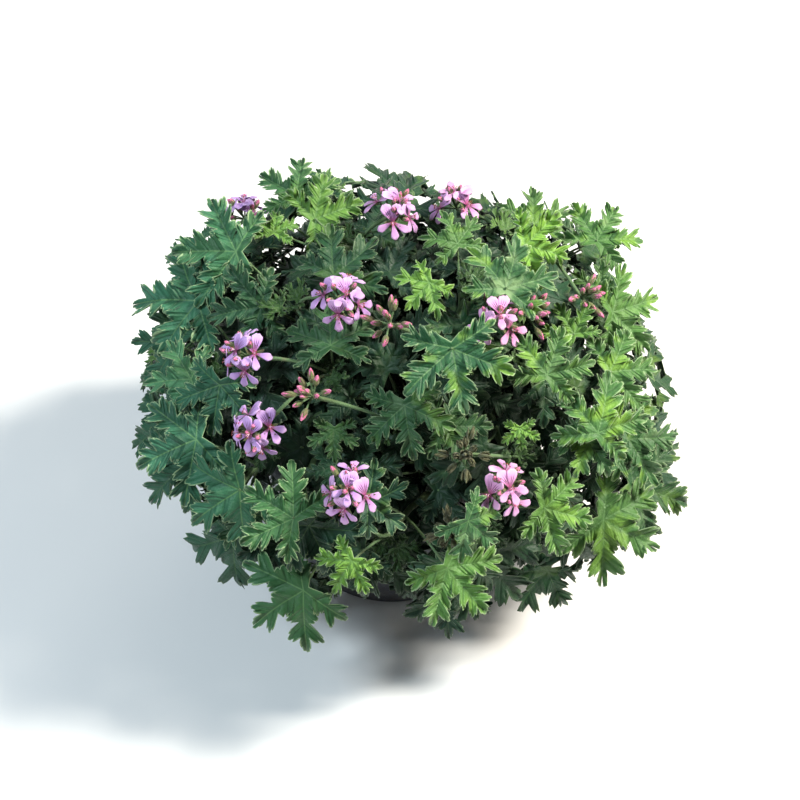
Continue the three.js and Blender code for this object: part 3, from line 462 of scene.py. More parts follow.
def front_leaf(number, shift):
    """A front leaf on the canopy. Its petiole is still without a node."""
    aside, up, points, drawn, depth, age = FRONT_LEAVES[number]
    depth_factor, turn, length_factor = shift
    seed = 300 + number
    place = on_canopy(aside, up, depth * depth_factor)
    to_eye = unit(EYE - place)
    nearness = np.linalg.norm(EYE - place) / EYE_DISTANCE
    sway = RIGHT * scatter(seed, 2) + PICTURE_UP * scatter(seed, 3)
    normal = blend(
        (unit(place - CROWN), FACING["outward"]),
        (SUN, FACING["sun"]),
        (to_eye, FACING["eye"]),
        (sway, FACING["sway"]),
    )
    heading = math.radians(points + turn)
    in_plane = RIGHT * math.cos(heading) + PICTURE_UP * math.sin(heading)
    ahead = in_plane - to_eye * (in_plane @ normal) / (to_eye @ normal)
    length = min(drawn * nearness * np.linalg.norm(ahead), LONGEST_FRONT_LEAF) * length_factor
    leaf = Leaf(None, place, unit(ahead), normal, length, seed, None)
    leaf.age = age
    return leaf


print("the eye stands at", [round(x) for x in EYE], "mm")

# %% Find the leaves that the plain solids have
CORNER_GAP = 0.1
CORNERS_FOUND = 0.6
# Where a front leaf's petiole may leave its shoot, between the lowest leaf's node and the tip. It may
# also leave two thirds of the way up to that node.
NODE_SHARES = (0, 0.25, 0.5, 0.75, 0.92)
SHORTEST_PETIOLE = 14
LONGEST_PETIOLE = 88
solids = {stem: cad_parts["leafy_stem_" + stem] for stem in ROOTS}
surfaces = {}
corner_points, corner_stems = [], []
for stem, solid in solids.items():
    places = vertices_of(solid)
    faces = [tuple(face.vertices) for face in solid.data.polygons]
    surfaces[stem] = BVHTree.FromPolygons(places.tolist(), faces)
    corner_points += list(places)
    corner_stems += [stem] * len(places)
corner_tree = KDTree(len(corner_points))
for k, point in enumerate(corner_points):
    corner_tree.insert(point, k)
corner_tree.balance()


def stem_with(leaf):
    """The stem whose solid has this blade's corners, or None."""
    found = [corner_tree.find(corner) for corner in leaf.corners() * MM]
    near = [corner_stems[k] for _, k, gap in found if gap < CORNER_GAP * MM]
    return near[0] if len(near) > CORNERS_FOUND * len(found) else None


def node_along(leaf):
    """The place on the leaf's stem that the solid's straight petiole runs to."""
    nodes = []
    for shoot in shoots.values():
        if shoot.stem == leaf.stem:
            last = shoot.node_share(LEAVES_PER_SHOOT - 1)
            shares = [last * 2 / 3] + [last + (1 - last) * share for share in NODE_SHARES]
            nodes += [shoot.point(t) for t in shares]

    def is_in_reach(node):
        return SHORTEST_PETIOLE < np.linalg.norm(node - leaf.place) < LONGEST_PETIOLE

    def stray(node):
        line = [(leaf.place + (node - leaf.place) * share) * MM for share in (0.3, 0.5, 0.7)]
        return max(surfaces[leaf.stem].find_nearest(point)[3] for point in line)

    return min(filter(is_in_reach, nodes), key=stray)


def find_leaf(poses):
    """The first of a leaf's poses that the plain solids have, if any."""
    for leaf in poses:
        leaf.stem = stem_with(leaf)
        if leaf.stem:
            return [leaf]
    return []


front_leaves, rosette_leaves = [], []
for number in range(len(FRONT_LEAVES)):
    front_leaves += find_leaf(front_leaf(number, shift) for shift in SHIFTS)
for leaf in front_leaves:
    leaf.node = node_along(leaf)
    leaf.leaving = blend((unit(leaf.place - leaf.node), 1), (UP, 0.25))
for number in range(LEAVES_PER_SHOOT):
    for shoot in shoots.values():
        rosette_leaves += find_leaf(leaf_on_shoot(shoot, number, bend) for bend in BENDS)
print("leaves found on the solids:", len(front_leaves), "in front,", len(rosette_leaves), "in rosettes")

# %% [markdown]
# ## The leaves in between
# The solids only have the outer leaves. A real bush is full of leaves behind them, and of small
# crinkled ones at each shoot's tip. Leaves thrown in at random would cut through each other. So they
# are spread evenly over some layers under the canopy, each on the nearest piece of stem, and a leaf
# stays only where its coarse outline is clear of its neighbours'.

# %% Spread the inner leaves
# Each layer's share of the canopy, its places for leaves, and the length of its leaves
LAYERS = ((0.93, 130, 42), (0.8, 90, 44), (0.62, 40, 40))
GOLDEN_ANGLE = 137.508
# A leaf looks for its node this far inwards and down, and its petiole has a least and a most length
WISHED_PETIOLE = 38
WISHED_DROP = 8
INNER_PETIOLE = (16, 84)
TRIES = 7
FAR_APART = 95


def coarse_blade(leaf):
    ring = leaf.outline()
    faces = [(0, k, k + 1) for k in range(1, len(ring) - 1)] + [(0, len(ring) - 1, 1)]
    return ring.mean(0), BVHTree.FromPolygons([tuple(p) for p in ring], faces)


def stem_samples():
    samples = []
    for shoot in shoots.values():
        for t in np.linspace(0.2, 0.97, 24):
            samples.append((shoot.point(t), shoot.stem))
    return samples


def layer_leaf(place, seed, length, samples, points):
    outward = unit(place - CROWN)
    wish = place - outward * WISHED_PETIOLE - UP * WISHED_DROP
    nearest = int(np.argmin(np.linalg.norm(points - wish, axis=1)))
    node, stem = samples[nearest]
    span = np.linalg.norm(place - node)
    if not INNER_PETIOLE[0] < span < INNER_PETIOLE[1]:
        return None
    arriving = blend((unit(place - node), 1), (outward, 0.2), (UP, -0.12))
    wander = vector(scatter(seed, 2), scatter(seed, 3), scatter(seed, 4))
    facing = blend((outward, 1), (SUN, 0.55), (wander, 0.32))
    leaf = facing_leaf(node, place, arriving, facing, length, seed, blend((arriving, 1), (outward, 0.5)))
    leaf.stem = stem
    return leaf


def is_clear(centre, tree, taken):
    return all(np.linalg.norm(centre - c) > FAR_APART or not tree.overlap(other) for c, other in taken)


def spread_leaves():
    taken = [coarse_blade(leaf) for leaf in front_leaves + rosette_leaves]
    samples = stem_samples()
    points = np.array([point for point, _ in samples])
    leaves = []
    for layer, (share, count, length) in enumerate(LAYERS):
        for k in range(count):
            seed = 1000 * (layer + 1) + k
            rise = math.degrees(math.asin(1 - 1.22 * (k + 0.5) / count))
            heading = direction(GOLDEN_ANGLE * k + 40 * layer, rise)
            for attempt in range(TRIES):
                inward = share - 0.035 * attempt
                nudge = vector(*(scatter(seed, 20 + 3 * attempt + n) for n in range(3)))
                place = CROWN + heading * CANOPY * inward + nudge * 6 * min(attempt, 3)
                size = length * (1 + 0.16 * scatter(seed, 9)) * (1 - 0.05 * attempt)
                leaf = layer_leaf(place, seed, size, samples, points)
                if leaf is None:
                    continue
                centre, tree = coarse_blade(leaf)
                if is_clear(centre, tree, taken):
                    taken.append((centre, tree))
                    leaves.append(leaf)
                    break
    return leaves


inner_leaves = spread_leaves()
print("inner leaves:", len(inner_leaves))

# %% Young leaves at the tips
YOUNG_PER_SHOOT = 3


def young_leaves():
    leaves = []
    for shoot in shoots.values():
        axis = shoot.curve.tangent(1)
        for k in range(YOUNG_PER_SHOOT):
            seed = 5000 + 10 * shoot.number + k
            radial = around(axis, SIDE_HINT, math.radians(GOLDEN_ANGLE * k + 40 * shoot.number))
            node = shoot.point(1) - axis * (1.5 + 1.2 * k)
            leaving = blend((axis, 1), (radial, 0.35 + 0.2 * k))
            place = node + leaving * (6 + 4 * k)
            outward = unit(place - CROWN)
            facing = blend((axis, 0.6), (radial, -0.5 + 0.28 * k), (outward, 0.6), (SUN, 0.5))
            length = 10 + 3.6 * k + 2 * scatter(seed, 1)
            leaf = facing_leaf(node, place, leaving, facing, length, seed, leaving)
            leaf.fold, leaf.droop, leaf.age = 0.62, -0.25, 1.0 - 0.15 * k
            leaf.stem = shoot.stem
            leaves.append(leaf)
    return leaves


tip_leaves = young_leaves()
print("young leaves:", len(tip_leaves))

# %% [markdown]
# ## The blade
# A leaf of this geranium is cut deep into five lobes, each lobe into rounded lobules with open gaps
# between them, and each lobule's end into small round teeth. A flat card with a cut-out picture would
# be lighter, but it has no folds, and its edge has no teeth to catch the light. Every side vein runs
# out to the tip of a lobule. So half a lobe is made from a grid whose columns run along the side veins
# and whose rows run along the midrib, and each column is drawn out to the margin. Ten such grids are
# joined to a blade, which then gets its thickness. Three distances are kept on it, to the midrib, to
# the nearest side vein and to the margin, and the material draws from them the veins, with painted
# shade in their grooves, and the pale margin, with a painted highlight.

# %% Half a lobe from a grid
# Lengths are shares of the blade's length. The web is the uncut middle that joins the lobes, and the
# rib's own part of it ends here.
WEB_RIB = 0.137
# At the first, the middle and the last lobule of a lobe: the angle between side vein and rib, the
# lobule's reach, and how far from the rib the cut beside it stops
PLACES = (0, 0.5, 1)
VEIN_ANGLES = (52, 42, 40)
LOBULE_REACH = (0.28, 0.37, 0.25)
CUT_REACH = (0.19, 0.125, 0.1)
# Half a lobule's width as a share of its step along the rib
SPREAD = 0.44
FIRST_SPREAD = 0.35
TOOTH = 0.22
# The share of a lobe's reach up to which its lobules are set along the rib
LOBED_SHARE = 0.82
# Where the margin starts at the base of the leaf, as a distance and an angle from the end of the
# web's rib
FIRST_CUT = 0.17
FIRST_CUT_ANGLE = 1.05
# A distance at which neither a vein nor the margin is drawn
FAR = 0.2


def lobed_margin(inside, lobule, step, last, share, seed, teeth):
    """The margin's places along and beside the rib, and how far from the rib the cuts stop."""
    out, swing = np.sin(math.pi * inside), -np.cos(math.pi * inside)
    end_angle = math.radians(VEIN_ANGLES[-1])
    size = share * (1 + 0.09 * np.array([scatter(seed, int(n)) for n in lobule]))
    turn = 5 * np.array([scatter(seed, 20 + n) for n in lobule])
    angle = np.radians(np.interp(lobule / last, PLACES, VEIN_ANGLES) + turn)
    crenate = 1 + TOOTH * out * (np.abs(np.sin(teeth * math.pi * inside)) ** 0.5 - 0.7)
    cut = np.interp(lobule / last, PLACES, CUT_REACH) * share
    reach = np.interp(lobule / last, PLACES, LOBULE_REACH) * size
    spread = np.where((lobule == 0) & (swing < 0), FIRST_SPREAD, SPREAD)
    squared = spread * step * swing * np.cos(angle) * out**0.4
    width = (cut + (reach - cut) * out**0.5) * crenate - squared
    x = WEB_RIB + step * (lobule + 0.5 + spread * swing) + width * np.cos(angle)
    y = width * np.sin(angle)
    is_end = lobule == last
    end_foot = WEB_RIB + last * step + cut * math.cos(end_angle)
    end_half = cut * math.sin(end_angle)
    x = np.where(is_end, end_foot + (share - end_foot) * out * crenate, x)
    y = np.where(is_end, end_half * np.maximum(-swing, 0) ** 0.6 * (1 + 0.7 * out) * crenate, y)
    return x, y, cut


def web_margin(part, half_gap):
    """The web's edge: on the line to the sinus, or at the base from the notch to the first lobule."""
    if half_gap is not None:
        return SINUS * part * math.cos(half_gap), SINUS * part * math.sin(half_gap)
    start = (WEB_RIB + FIRST_CUT * math.cos(FIRST_CUT_ANGLE), FIRST_CUT * math.sin(FIRST_CUT_ANGLE))
    notch = math.radians(180 - LOBES[0][0])
    base = (BASE_NOTCH * math.cos(notch), BASE_NOTCH * math.sin(notch))
    return base[0] + (start[0] - base[0]) * part, base[1] + (start[1] - base[1]) * part


def half_lobe(u, v, share, seed, lobules, lobule_columns, web, half_gap):
    """Along and beside the rib, relief and the three distances, for a grid's u and v from 0 to 1."""
    columns = web + round(lobule_columns * lobules)
    column = np.round(u * columns)
    is_web, part = column <= web, column / web
    phase = np.clip((column - web) / (columns - web), 0, 1) * lobules
    last = int(lobules)
    lobule = np.minimum((phase + 1e-6).astype(int), last)
    inside = phase - lobule
    step = (LOBED_SHARE * share - WEB_RIB) / lobules
    teeth = 3 if lobule_columns > 6 else 2
    x, y, cut = lobed_margin(inside, lobule, step, last, share, seed, teeth)
    web_x, web_y = web_margin(part, half_gap)
    x, y = np.where(is_web, web_x, x), np.where(is_web, web_y, y)
    rib = np.where(is_web, WEB_RIB * part, WEB_RIB + step * phase)
    along, beside = rib + (x - rib) * v, y * v
    reach = np.hypot(x - rib, y)
    off_vein = np.where(is_web, 0.5, np.abs(inside - 0.5))
    ruffle = 0.06 * np.sin(1.3 * math.pi * phase + 3 * scatter(seed, 11)) + 0.02 * v**2
    ruffle = ruffle + 0.018 * v**3 * np.cos(6 * math.pi * inside + 2 * scatter(seed, 12))
    relief = np.where(is_web, 0, 0.05 * off_vein * v * (1 - 0.4 * v) + ruffle * v**2)
    to_slit = (0.5 - off_vein) * 0.9 * step + np.maximum(0, cut - v * reach)
    to_edge = np.minimum((1 - v) * reach, np.where(is_web, FAR, to_slit))
    edge = np.where(is_web & (half_gap is not None), FAR, to_edge)
    return along, beside, relief, beside, off_vein * step + np.where(is_web, FAR, 0), edge


# %% The grid in its place round the heart
PATTERN_LENGTH = 45


def half_lobe_grid(k, side, seed, lobules, lobule_columns, rows, web):
    """One half of lobe k as its own mesh, laid flat round the heart of the leaf."""
    columns = web + round(lobule_columns * lobules)
    deselect_all()
    bpy.ops.mesh.primitive_grid_add(x_subdivisions=columns, y_subdivisions=rows, size=1)
    grid = bpy.context.object
    flat = vertices_of(grid) + 0.5
    angle, share = LOBES[k]
    share = share * (1 + 0.05 * scatter(seed, 40 + k))
    neighbour = k - side
    half_gap = None
    if 0 <= neighbour < len(LOBES):
        half_gap = math.radians(abs(angle - LOBES[neighbour][0])) / 2
    u, v = flat[:, 0], flat[:, 1] ** 0.65
    along, beside, relief, *distances = half_lobe(
        u, v, share, seed + 3 * k + side, lobules, lobule_columns, web, half_gap
    )
    sway = math.radians(5 * scatter(seed, 50 + k)) * np.clip(along - SINUS, 0, 1) / (1 - SINUS)
    turn = math.radians(angle) + sway
    beside = beside * side
    x = along * np.sin(turn) + beside * np.cos(turn)
    y = along * np.cos(turn) - beside * np.sin(turn)
    lobe_droop = 0.1 * scatter(seed, 60 + k) * np.clip(along - SINUS, 0, 1)
    points = np.column_stack([x, y, relief + lobe_droop]) * PATTERN_LENGTH * MM
    set_vertices(grid, points)
    for name, distance in zip(("rib", "vein", "edge"), distances):
        set_point_values(grid, name, np.abs(distance) * PATTERN_LENGTH * MM)
    if sum(face.normal.z for face in grid.data.polygons) < 0:
        grid.data.flip_normals()
    return grid


# %% A whole blade as a pattern
BLADE_THICKNESS = 0.45
# For each kind of leaf: its patterns' seeds as a step and a start, the columns of a lobule, the rows
# of the grid, the columns of the web, and the lobules beside a rib in each pattern
BLADE_KINDS = {
    "full": (17, 3, 12, 2, 2, (2.5, 2.5, 3.5, 3.5, 3.5)),
    "rosette": (19, 9, 12, 2, 2, (2.5, 2.5, 2.5)),
    "light": (23, 5, 6, 1, 1, (2.5, 2.5, 2.5)),
    "small": (29, 7, 4, 1, 1, (2.5, 2.5, 2.5)),
}


def blade_pattern(name, seed, lobules, lobule_columns, rows, web):
    halves = []
    for k in range(len(LOBES)):
        for side in (1, -1):
            halves.append(half_lobe_grid(k, side, seed, lobules, lobule_columns, rows, web))
    blade = join(halves, name)
    bpy.ops.object.mode_set(mode="EDIT")
    bpy.ops.mesh.select_all(action="SELECT")
    bpy.ops.mesh.remove_doubles(threshold=0.02 * MM)
    bpy.ops.mesh.dissolve_degenerate(threshold=0.01 * MM)
    bpy.ops.object.mode_set(mode="OBJECT")
    upper = len(blade.data.vertices)
    skin = blade.modifiers.new("thickness", "SOLIDIFY")
    skin.thickness = BLADE_THICKNESS * MM
    skin.offset = -1
    apply_modifiers(blade)
    under = np.zeros(len(blade.data.vertices))
    under[upper:] = 1
    set_point_values(blade, "under", under)
    bpy.ops.object.shade_smooth()
    return blade


blade_patterns = {}
for kind, (seed_step, seed_start, lobule_columns, rows, web, lobule_counts) in BLADE_KINDS.items():
    blade_patterns[kind] = [
        blade_pattern(f"{kind}_blade_{n}", seed_step * n + seed_start, lobules, lobule_columns, rows, web)
        for n, lobules in enumerate(lobule_counts)
    ]
    print("faces of a", kind, "blade:", len(blade_patterns[kind][0].data.polygons))

# %% Bend the blades into place


def grow_blade(leaf, patterns):
    pattern = patterns[int(abs(scatter(leaf.seed, 70)) * len(patterns)) % len(patterns)]
    blade = copy_of(pattern)
    scale = leaf.length / (PATTERN_LENGTH * MM)
    x, y, lift = (vertices_of(pattern) * (scale, scale, scale * (1 + 0.8 * leaf.age))).T
    thin = point_values(pattern, "under")
    relief = lift + thin * BLADE_THICKNESS * (leaf.length / PATTERN_LENGTH - 1)
    across_wave = np.sin(3.4 * x / leaf.length + 3 * scatter(leaf.seed, 72))
    along_wave = np.sin(3 * y / leaf.length + 3 * scatter(leaf.seed, 73))
    waves = 0.07 * leaf.length * across_wave * along_wave
    set_vertices(blade, leaf.world(x, y, relief + waves) * MM)
    depth = 1 - np.linalg.norm((leaf.place - CROWN) / CANOPY)
    set_point_values(blade, "tone", scatter(leaf.seed, 71))
    set_point_values(blade, "age", leaf.age)
    # Painted shade: the deeper a leaf stands inside the canopy, the more the material darkens it
    set_point_values(blade, "deep", np.clip(depth / 0.11, 0, 1))
    return blade


leaves_of_kind = {
    "full": front_leaves, "rosette": rosette_leaves, "light": inner_leaves, "small": tip_leaves,
}
blades = {stem: [] for stem in ROOTS}
for kind, patterns in blade_patterns.items():
    for leaf in leaves_of_kind[kind]:
        blades[leaf.stem].append(grow_blade(leaf, patterns))
    for pattern in patterns:
        bpy.data.objects.remove(pattern)
leaf_pieces = {stem: join(pieces, "leaves_" + stem) for stem, pieces in blades.items()}
print("faces of all leaves:", sum(len(p.data.polygons) for p in leaf_pieces.values()))

# %% [markdown]
# ## Umbels
# A flower stalk climbs from a shoot and ends in a heart, from which pedicels spread to the florets.
# Some umbels are open, some are still in bud, and some are spent and brown. One ready-made ball of
# flowers could be placed fifteen times, but the eye sees such a copy at once. So only the heart is
# listed, and each head gets a pose of its own.

# %% Umbel poses
# Each umbel's shoot, the azimuth, rise and reach of its heart from the crown, its state, and how many
# heads it has
UMBELS = {
    "01": ("f2", 147, 38, 190, "open", 4), "02": ("a1", 136, 84, 174, "open", 5),
    "03": ("b1", 54, 70, 164, "open", 4), "04": ("c1", 233, 64, 177, "open", 5),
    "05": ("d1", 260, 62, 176, "bud", 5), "06": ("h1", 217, 43, 186, "open", 5),
    "07": ("h1", 231, 32, 187, "open", 5), "08": ("d2", 241, 43, 182, "bud", 5),
    "09": ("e1", 306, 58, 179, "open", 4), "10": ("d3", 320, 56, 178, "bud", 4),
    "11": ("i3", 256, 26, 185, "open", 5), "12": ("i1", 290, 26, 189, "open", 4),
    "13": ("e3", 283, 34, 181, "spent", 5), "14": ("i1", 278, 19, 186, "spent", 4),
    "15": ("b1", 343, 49, 185, "bud", 4),
}
STALK_FOOT = 0.93
PEDICEL = 13
SPLAY = 63


class Umbel:
    """An umbel's stalk, the heart at its end, and the place and frame of each head."""

    def __init__(self, name):
        shoot_name, azimuth, rise, reach, self.kind, count = UMBELS[name]
        shoot = shoots[shoot_name]
        self.name, self.stem = name, shoot.stem
        outward = direction(azimuth, rise)
        self.heart = CROWN + outward * reach
        foot = shoot.point(STALK_FOOT)
        leaving = blend((shoot.curve.tangent(STALK_FOOT), 1), (UP, 0.5))
        bend = foot + leaving * np.linalg.norm(foot - self.heart) * 0.5
        self.stalk = Bezier(self.heart, bend, foot)
        self.axis = blend((self.stalk.tangent(0), -0.6), (outward, 1), (SUN, 0.8))
        self.heads = []
        for k in range(count):
            seed = 31 * int(name) + k
            spin = 2 * math.pi * (k - 1) / (count - 1) + 0.25 * scatter(seed, 1)
            splay = math.radians(6 if k == 0 else SPLAY + 5 * scatter(seed, 2))
            heading = splayed(self.axis, vector(0.2, 1, 0.1), spin, splay)
            pedicel = PEDICEL * (1.1 if k == 0 else 1 + 0.1 * scatter(seed, 3))
            normal = blend((heading, 1), (self.axis, 0.35))
            self.heads.append((self.heart + heading * pedicel, normal, heading, seed))


umbels = [Umbel(name) for name in UMBELS]
print("open umbels:", sum(u.kind == "open" for u in umbels))

# %% [markdown]
# ## Many copies of one pattern
# A petal, a sepal, an anther, a hair or a crumb of soil is modelled once. Thousands of objects would
# be slow, so an Array modifier makes as many copies as are needed in one mesh, it is applied, and
# each copy is carried to its own frame: an origin, three directions and three scales.

# %% Copies in their frames


def frame_at(origin, ahead, normal, scale=(1, 1, 1)):
    """A frame whose Y runs ahead and whose Z is nearest to the normal."""
    ahead = unit(ahead)
    normal = across(normal, ahead)
    return origin, np.array([np.cross(ahead, normal), ahead, normal]), np.broadcast_to(scale, 3)


def place_copies(pattern, frames, name):
    piece = copy_of(pattern)
    row = piece.modifiers.new("copies", "ARRAY")
    row.count = len(frames)
    row.use_relative_offset = False
    apply_modifiers(piece)
    shape = vertices_of(pattern)
    points = [np.asarray(o) * MM + (shape * scale) @ axes for o, axes, scale in frames]
    set_vertices(piece, np.concatenate(points))
    piece.name = piece.data.name = name
    return piece


def set_values_in_turn(piece, name, values):
    """Each value for an equal run of the piece's vertices, one after the other."""
    set_point_values(piece, name, np.repeat(values, len(piece.data.vertices) // len(values)))


def grid_sheet(name, columns, rows, shape, thickness):
    """A grid shaped by a formula of u from -1 to 1 and t from 0 to 1, with a thickness."""
    deselect_all()
    bpy.ops.mesh.primitive_grid_add(x_subdivisions=columns, y_subdivisions=rows, size=2)
    sheet = bpy.context.object
    flat = vertices_of(sheet)
    u, t = flat[:, 0], (flat[:, 1] + 1) / 2
    set_vertices(sheet, np.column_stack(shape(u, t)) * MM)
    set_point_values(sheet, "along", t)
    set_point_values(sheet, "beside", u)
    skin = sheet.modifiers.new("thickness", "SOLIDIFY")
    skin.thickness, skin.offset = thickness * MM, 0
    apply_modifiers(sheet)
    bpy.ops.object.shade_smooth()
    sheet.name = name
    return sheet


# %% [markdown]
# ## Petals
# Two broad petals stand at the top of a floret, notched, ruffled and feathered with dark purple, and
# three narrow ones hang below. Each is a grid that is pinched to a claw at its foot, cupped, and
# turned back at its tip. On a grid every point knows how far along and beside the petal it is, and
# the material fans the feathering out from those two values.

# %% Petal patterns
# A petal's half width at these shares of its length
PETAL_SHARES = (0, 0.2, 0.45, 0.7, 0.88, 1)
UPPER_OUTLINE = (0.5, 1.3, 2.7, 3.6, 3.5, 2.2)
LOWER_OUTLINE = (0.4, 0.8, 1.7, 2.6, 2.7, 1.8)
PETAL_THICKNESS = 0.3


def petal_shape(outline, reach, notch, ruffle):
    def shape(u, t):
        x = u * np.interp(t, PETAL_SHARES, outline)
        y = reach * t - 1.5 * t**3 * u**2 - notch * t**6 * (1 - np.abs(u)) ** 2
        z = 0.3 * reach * t - 0.2 * reach * t**2.2
        z = z + 0.06 * x**2 * (1 - 0.8 * t) + ruffle * t**3 * np.sin(3.4 * u)
        return x, y, z

    return shape


upper_shape = petal_shape(UPPER_OUTLINE, 13.5, 0.9, 0.5)
lower_shape = petal_shape(LOWER_OUTLINE, 12.5, 0.3, 0.25)
upper_petal = grid_sheet("upper_petal", 6, 9, upper_shape, PETAL_THICKNESS)
lower_petal = grid_sheet("lower_petal", 4, 8, lower_shape, PETAL_THICKNESS)
print("faces of a petal:", len(upper_petal.data.polygons), len(lower_petal.data.polygons))

# %% Petals of each open umbel
# The petals' angles in degrees from the top of the floret
UPPER_ANGLES = (20, -20)
LOWER_ANGLES = (122, -122, 178)


def floret_frames(place, normal, seed):
    """The frames of a floret's upper and lower petals."""
    top = across(UP, normal)
    aside = np.cross(top, normal)
    frames = []
    for angles in (UPPER_ANGLES, LOWER_ANGLES):
        row = []
        for k, angle in enumerate(angles):
            turn = math.radians(angle + 7 * scatter(seed, 30 + k + angle))
            ahead = aside * math.sin(turn) + top * math.cos(turn)
            lift = 0.1 * scatter(seed, 60 + k + angle)
            size = 1 + 0.07 * scatter(seed, 80 + k + angle)
            row.append(frame_at(place, ahead + normal * lift, normal + ahead * lift, size))
        frames.append(row)
    return frames


def umbel_petals(umbel):
    upper, lower, tones = [], [], []
    # Painted light: umbels to the right, in the sun, are tinted pinker, those to the left bluer mauve
    painted_sun_warmth = np.clip((umbel.heart[0] - CROWN[0]) / 110, -1, 1)
    for place, normal, _, seed in umbel.heads:
        above, below = floret_frames(place, normal, seed)
        upper += above
        lower += below
        tones.append(0.75 * painted_sun_warmth + 0.25 * scatter(seed, 90))
    petals = [place_copies(upper_petal, upper, "tops"), place_copies(lower_petal, lower, "lows")]
    for piece, is_upper in zip(petals, (1, 0)):
        set_values_in_turn(piece, "tone", tones)
        set_point_values(piece, "upper", is_upper)
    return join(petals, "petals_" + umbel.name)


petal_pieces = {u.name: umbel_petals(u) for u in umbels if u.kind == "open"}
print("petal pieces:", len(petal_pieces))

# %% [markdown]
# ## Tubes
# Stems, petioles, stalks and filaments are all round and tapering. Cylinders set end to end would
# gape at each bend. So a path is laid through the points as a curve with a round bevel and closed
# ends, with a radius at every point, and is then converted to a mesh.

# %% Tubes along paths


def tubes(name, lines, roundness):
    deselect_all()
    bpy.ops.curve.primitive_nurbs_path_add()
    piece = bpy.context.object
    curve = piece.data
    curve.splines.clear()
    curve.bevel_depth, curve.bevel_resolution, curve.use_fill_caps = MM, roundness, True
    for points, radii in lines:
        line = curve.splines.new("POLY")
        line.points.add(len(points) - 1)
        places = np.column_stack([np.asarray(points) * MM, np.ones(len(points))])
        line.points.foreach_set("co", places.ravel())
        line.points.foreach_set("radius", np.asarray(radii, float))
    bpy.ops.object.convert(target="MESH")
    piece = bpy.context.object
    piece.name = piece.data.name = name
    bpy.ops.object.shade_smooth()
    return piece


def bezier_line(curve, radii, steps):
    shares = np.linspace(0, 1, steps + 1)
    points = [curve.point(t) for t in shares]
    return points, np.interp(shares, np.linspace(0, 1, len(radii)), radii)


# %% Stamens
STAMENS = 5
deselect_all()
bpy.ops.mesh.primitive_uv_sphere_add(segments=6, ring_count=4, radius=MM)
anther = bpy.context.object
anther.name = "anther"
anther.scale = (0.34, 0.7, 0.34)
bpy.ops.object.transform_apply(location=False, rotation=False, scale=True)


def umbel_stamens(umbel):
    lines, tips = [], []
    for place, normal, _, seed in umbel.heads:
        top = across(UP, normal)
        aside = np.cross(top, normal)
        for k in range(STAMENS):
            turn = 2 * math.pi * k / STAMENS + scatter(seed, 100)
            out = aside * math.cos(turn) + top * (math.sin(turn) - 0.35)
            reach = 4.6 + 0.9 * scatter(seed, 101 + k)
            end = place + normal * reach + out * 1.3
            path = Bezier(place + normal * 0.2, place + normal * reach * 0.6, end)
            lines.append(bezier_line(path, (0.24, 0.16), 4))
            tips.append(frame_at(end, out, normal))
    threads = tubes("threads", lines, 0)
    set_point_values(threads, "anther", 0)
    heads = place_copies(anther, tips, "anthers")
    set_point_values(heads, "anther", 1)
    return join([threads, heads], "stamens_" + umbel.name)


stamen_pieces = {u.name: umbel_stamens(u) for u in umbels if u.kind == "open"}
print("faces of one umbel's stamens:", len(stamen_pieces["01"].data.polygons))

# %% [markdown]
# ## Sepals and buds
# Five narrow hairy sepals hold each floret and wrap each bud. A bud shows the rolled tip of its
# petals between them, and on a spent head the sepals are brown and close round the beak of the fruit.
# They are a few millimetres long and repeated hundreds of times, so a small cupped grid and a pinched
# ball are enough for their patterns.

# %% Sepal and bud patterns
SEPALS = 5
SEPAL_LENGTH = 6.5
# A sepal's half width at these shares of its length
SEPAL_SHARES = (0, 0.3, 0.7, 1)
SEPAL_OUTLINE = (0.8, 1.45, 1.0, 0.1)


def sepal_shape(u, t):
    x = u * np.interp(t, SEPAL_SHARES, SEPAL_OUTLINE)
    return x, SEPAL_LENGTH * t, 0.9 * np.sin(math.pi * t) - 0.25 * u**2 + 0.1


sepal = grid_sheet("sepal", 2, 4, sepal_shape, PETAL_THICKNESS)
deselect_all()
bpy.ops.mesh.primitive_uv_sphere_add(segments=8, ring_count=7, radius=MM)
bud = bpy.context.object
bud.name = "bud"
shape = vertices_of(bud) / MM
share = (shape[:, 2] + 1) / 2
pinch = 1 - 0.45 * share**2
set_vertices(bud, np.column_stack([shape[:, 0] * pinch, share, shape[:, 1] * pinch]) * MM)
# Exchanging two axes turned the ball inside out, so its faces are turned back
bud.data.flip_normals()
set_point_values(bud, "along", share)
set_point_values(bud, "beside", 0)
bpy.ops.object.shade_smooth()
print("faces of a sepal and a bud:", len(sepal.data.polygons), len(bud.data.polygons))

# %% Calyces round the florets and buds
BUD_LENGTH = 9
SMALL_BUD_LENGTH = 8.4
EXTRA_BUDS = 8


def calyx_frames(foot, heading, openness, length, seed):
    """Five sepals round an axis: closed round a bud, or spread behind a floret."""
    frames = []
    for k in range(SEPALS):
        out = around(heading, vector(0.3, 0.1, 1), 2 * math.pi * k / SEPALS + scatter(seed, 110))
        ahead = heading * (1 - openness) + out * openness
        normal = out * (1 - openness) - heading * openness
        scale = (1, length / SEPAL_LENGTH * (1 + 0.1 * scatter(seed, 111 + k)), 1)
        frames.append(frame_at(foot + out * 0.55, ahead, normal, scale))
    return frames


def extra_heads(umbel):
    """More buds among the heads, in two rings round the axis."""
    reach = 12 if umbel.kind == "open" else 9
    heads = []
    for k in range(EXTRA_BUDS):
        seed = 700 + 10 * int(umbel.name) + k
        turn = 2 * math.pi * (k + 0.5) / EXTRA_BUDS + 0.5 * scatter(seed, 1)
        splay = (0.8 if k % 2 else 0.45) + 0.35 * scatter(seed, 2)
        heading = splayed(umbel.axis, vector(0.4, 0.9, 0.1), turn, splay)
        heads.append((umbel.heart + heading * (reach + 2.5 * scatter(seed, 3)), heading, seed))
    return heads


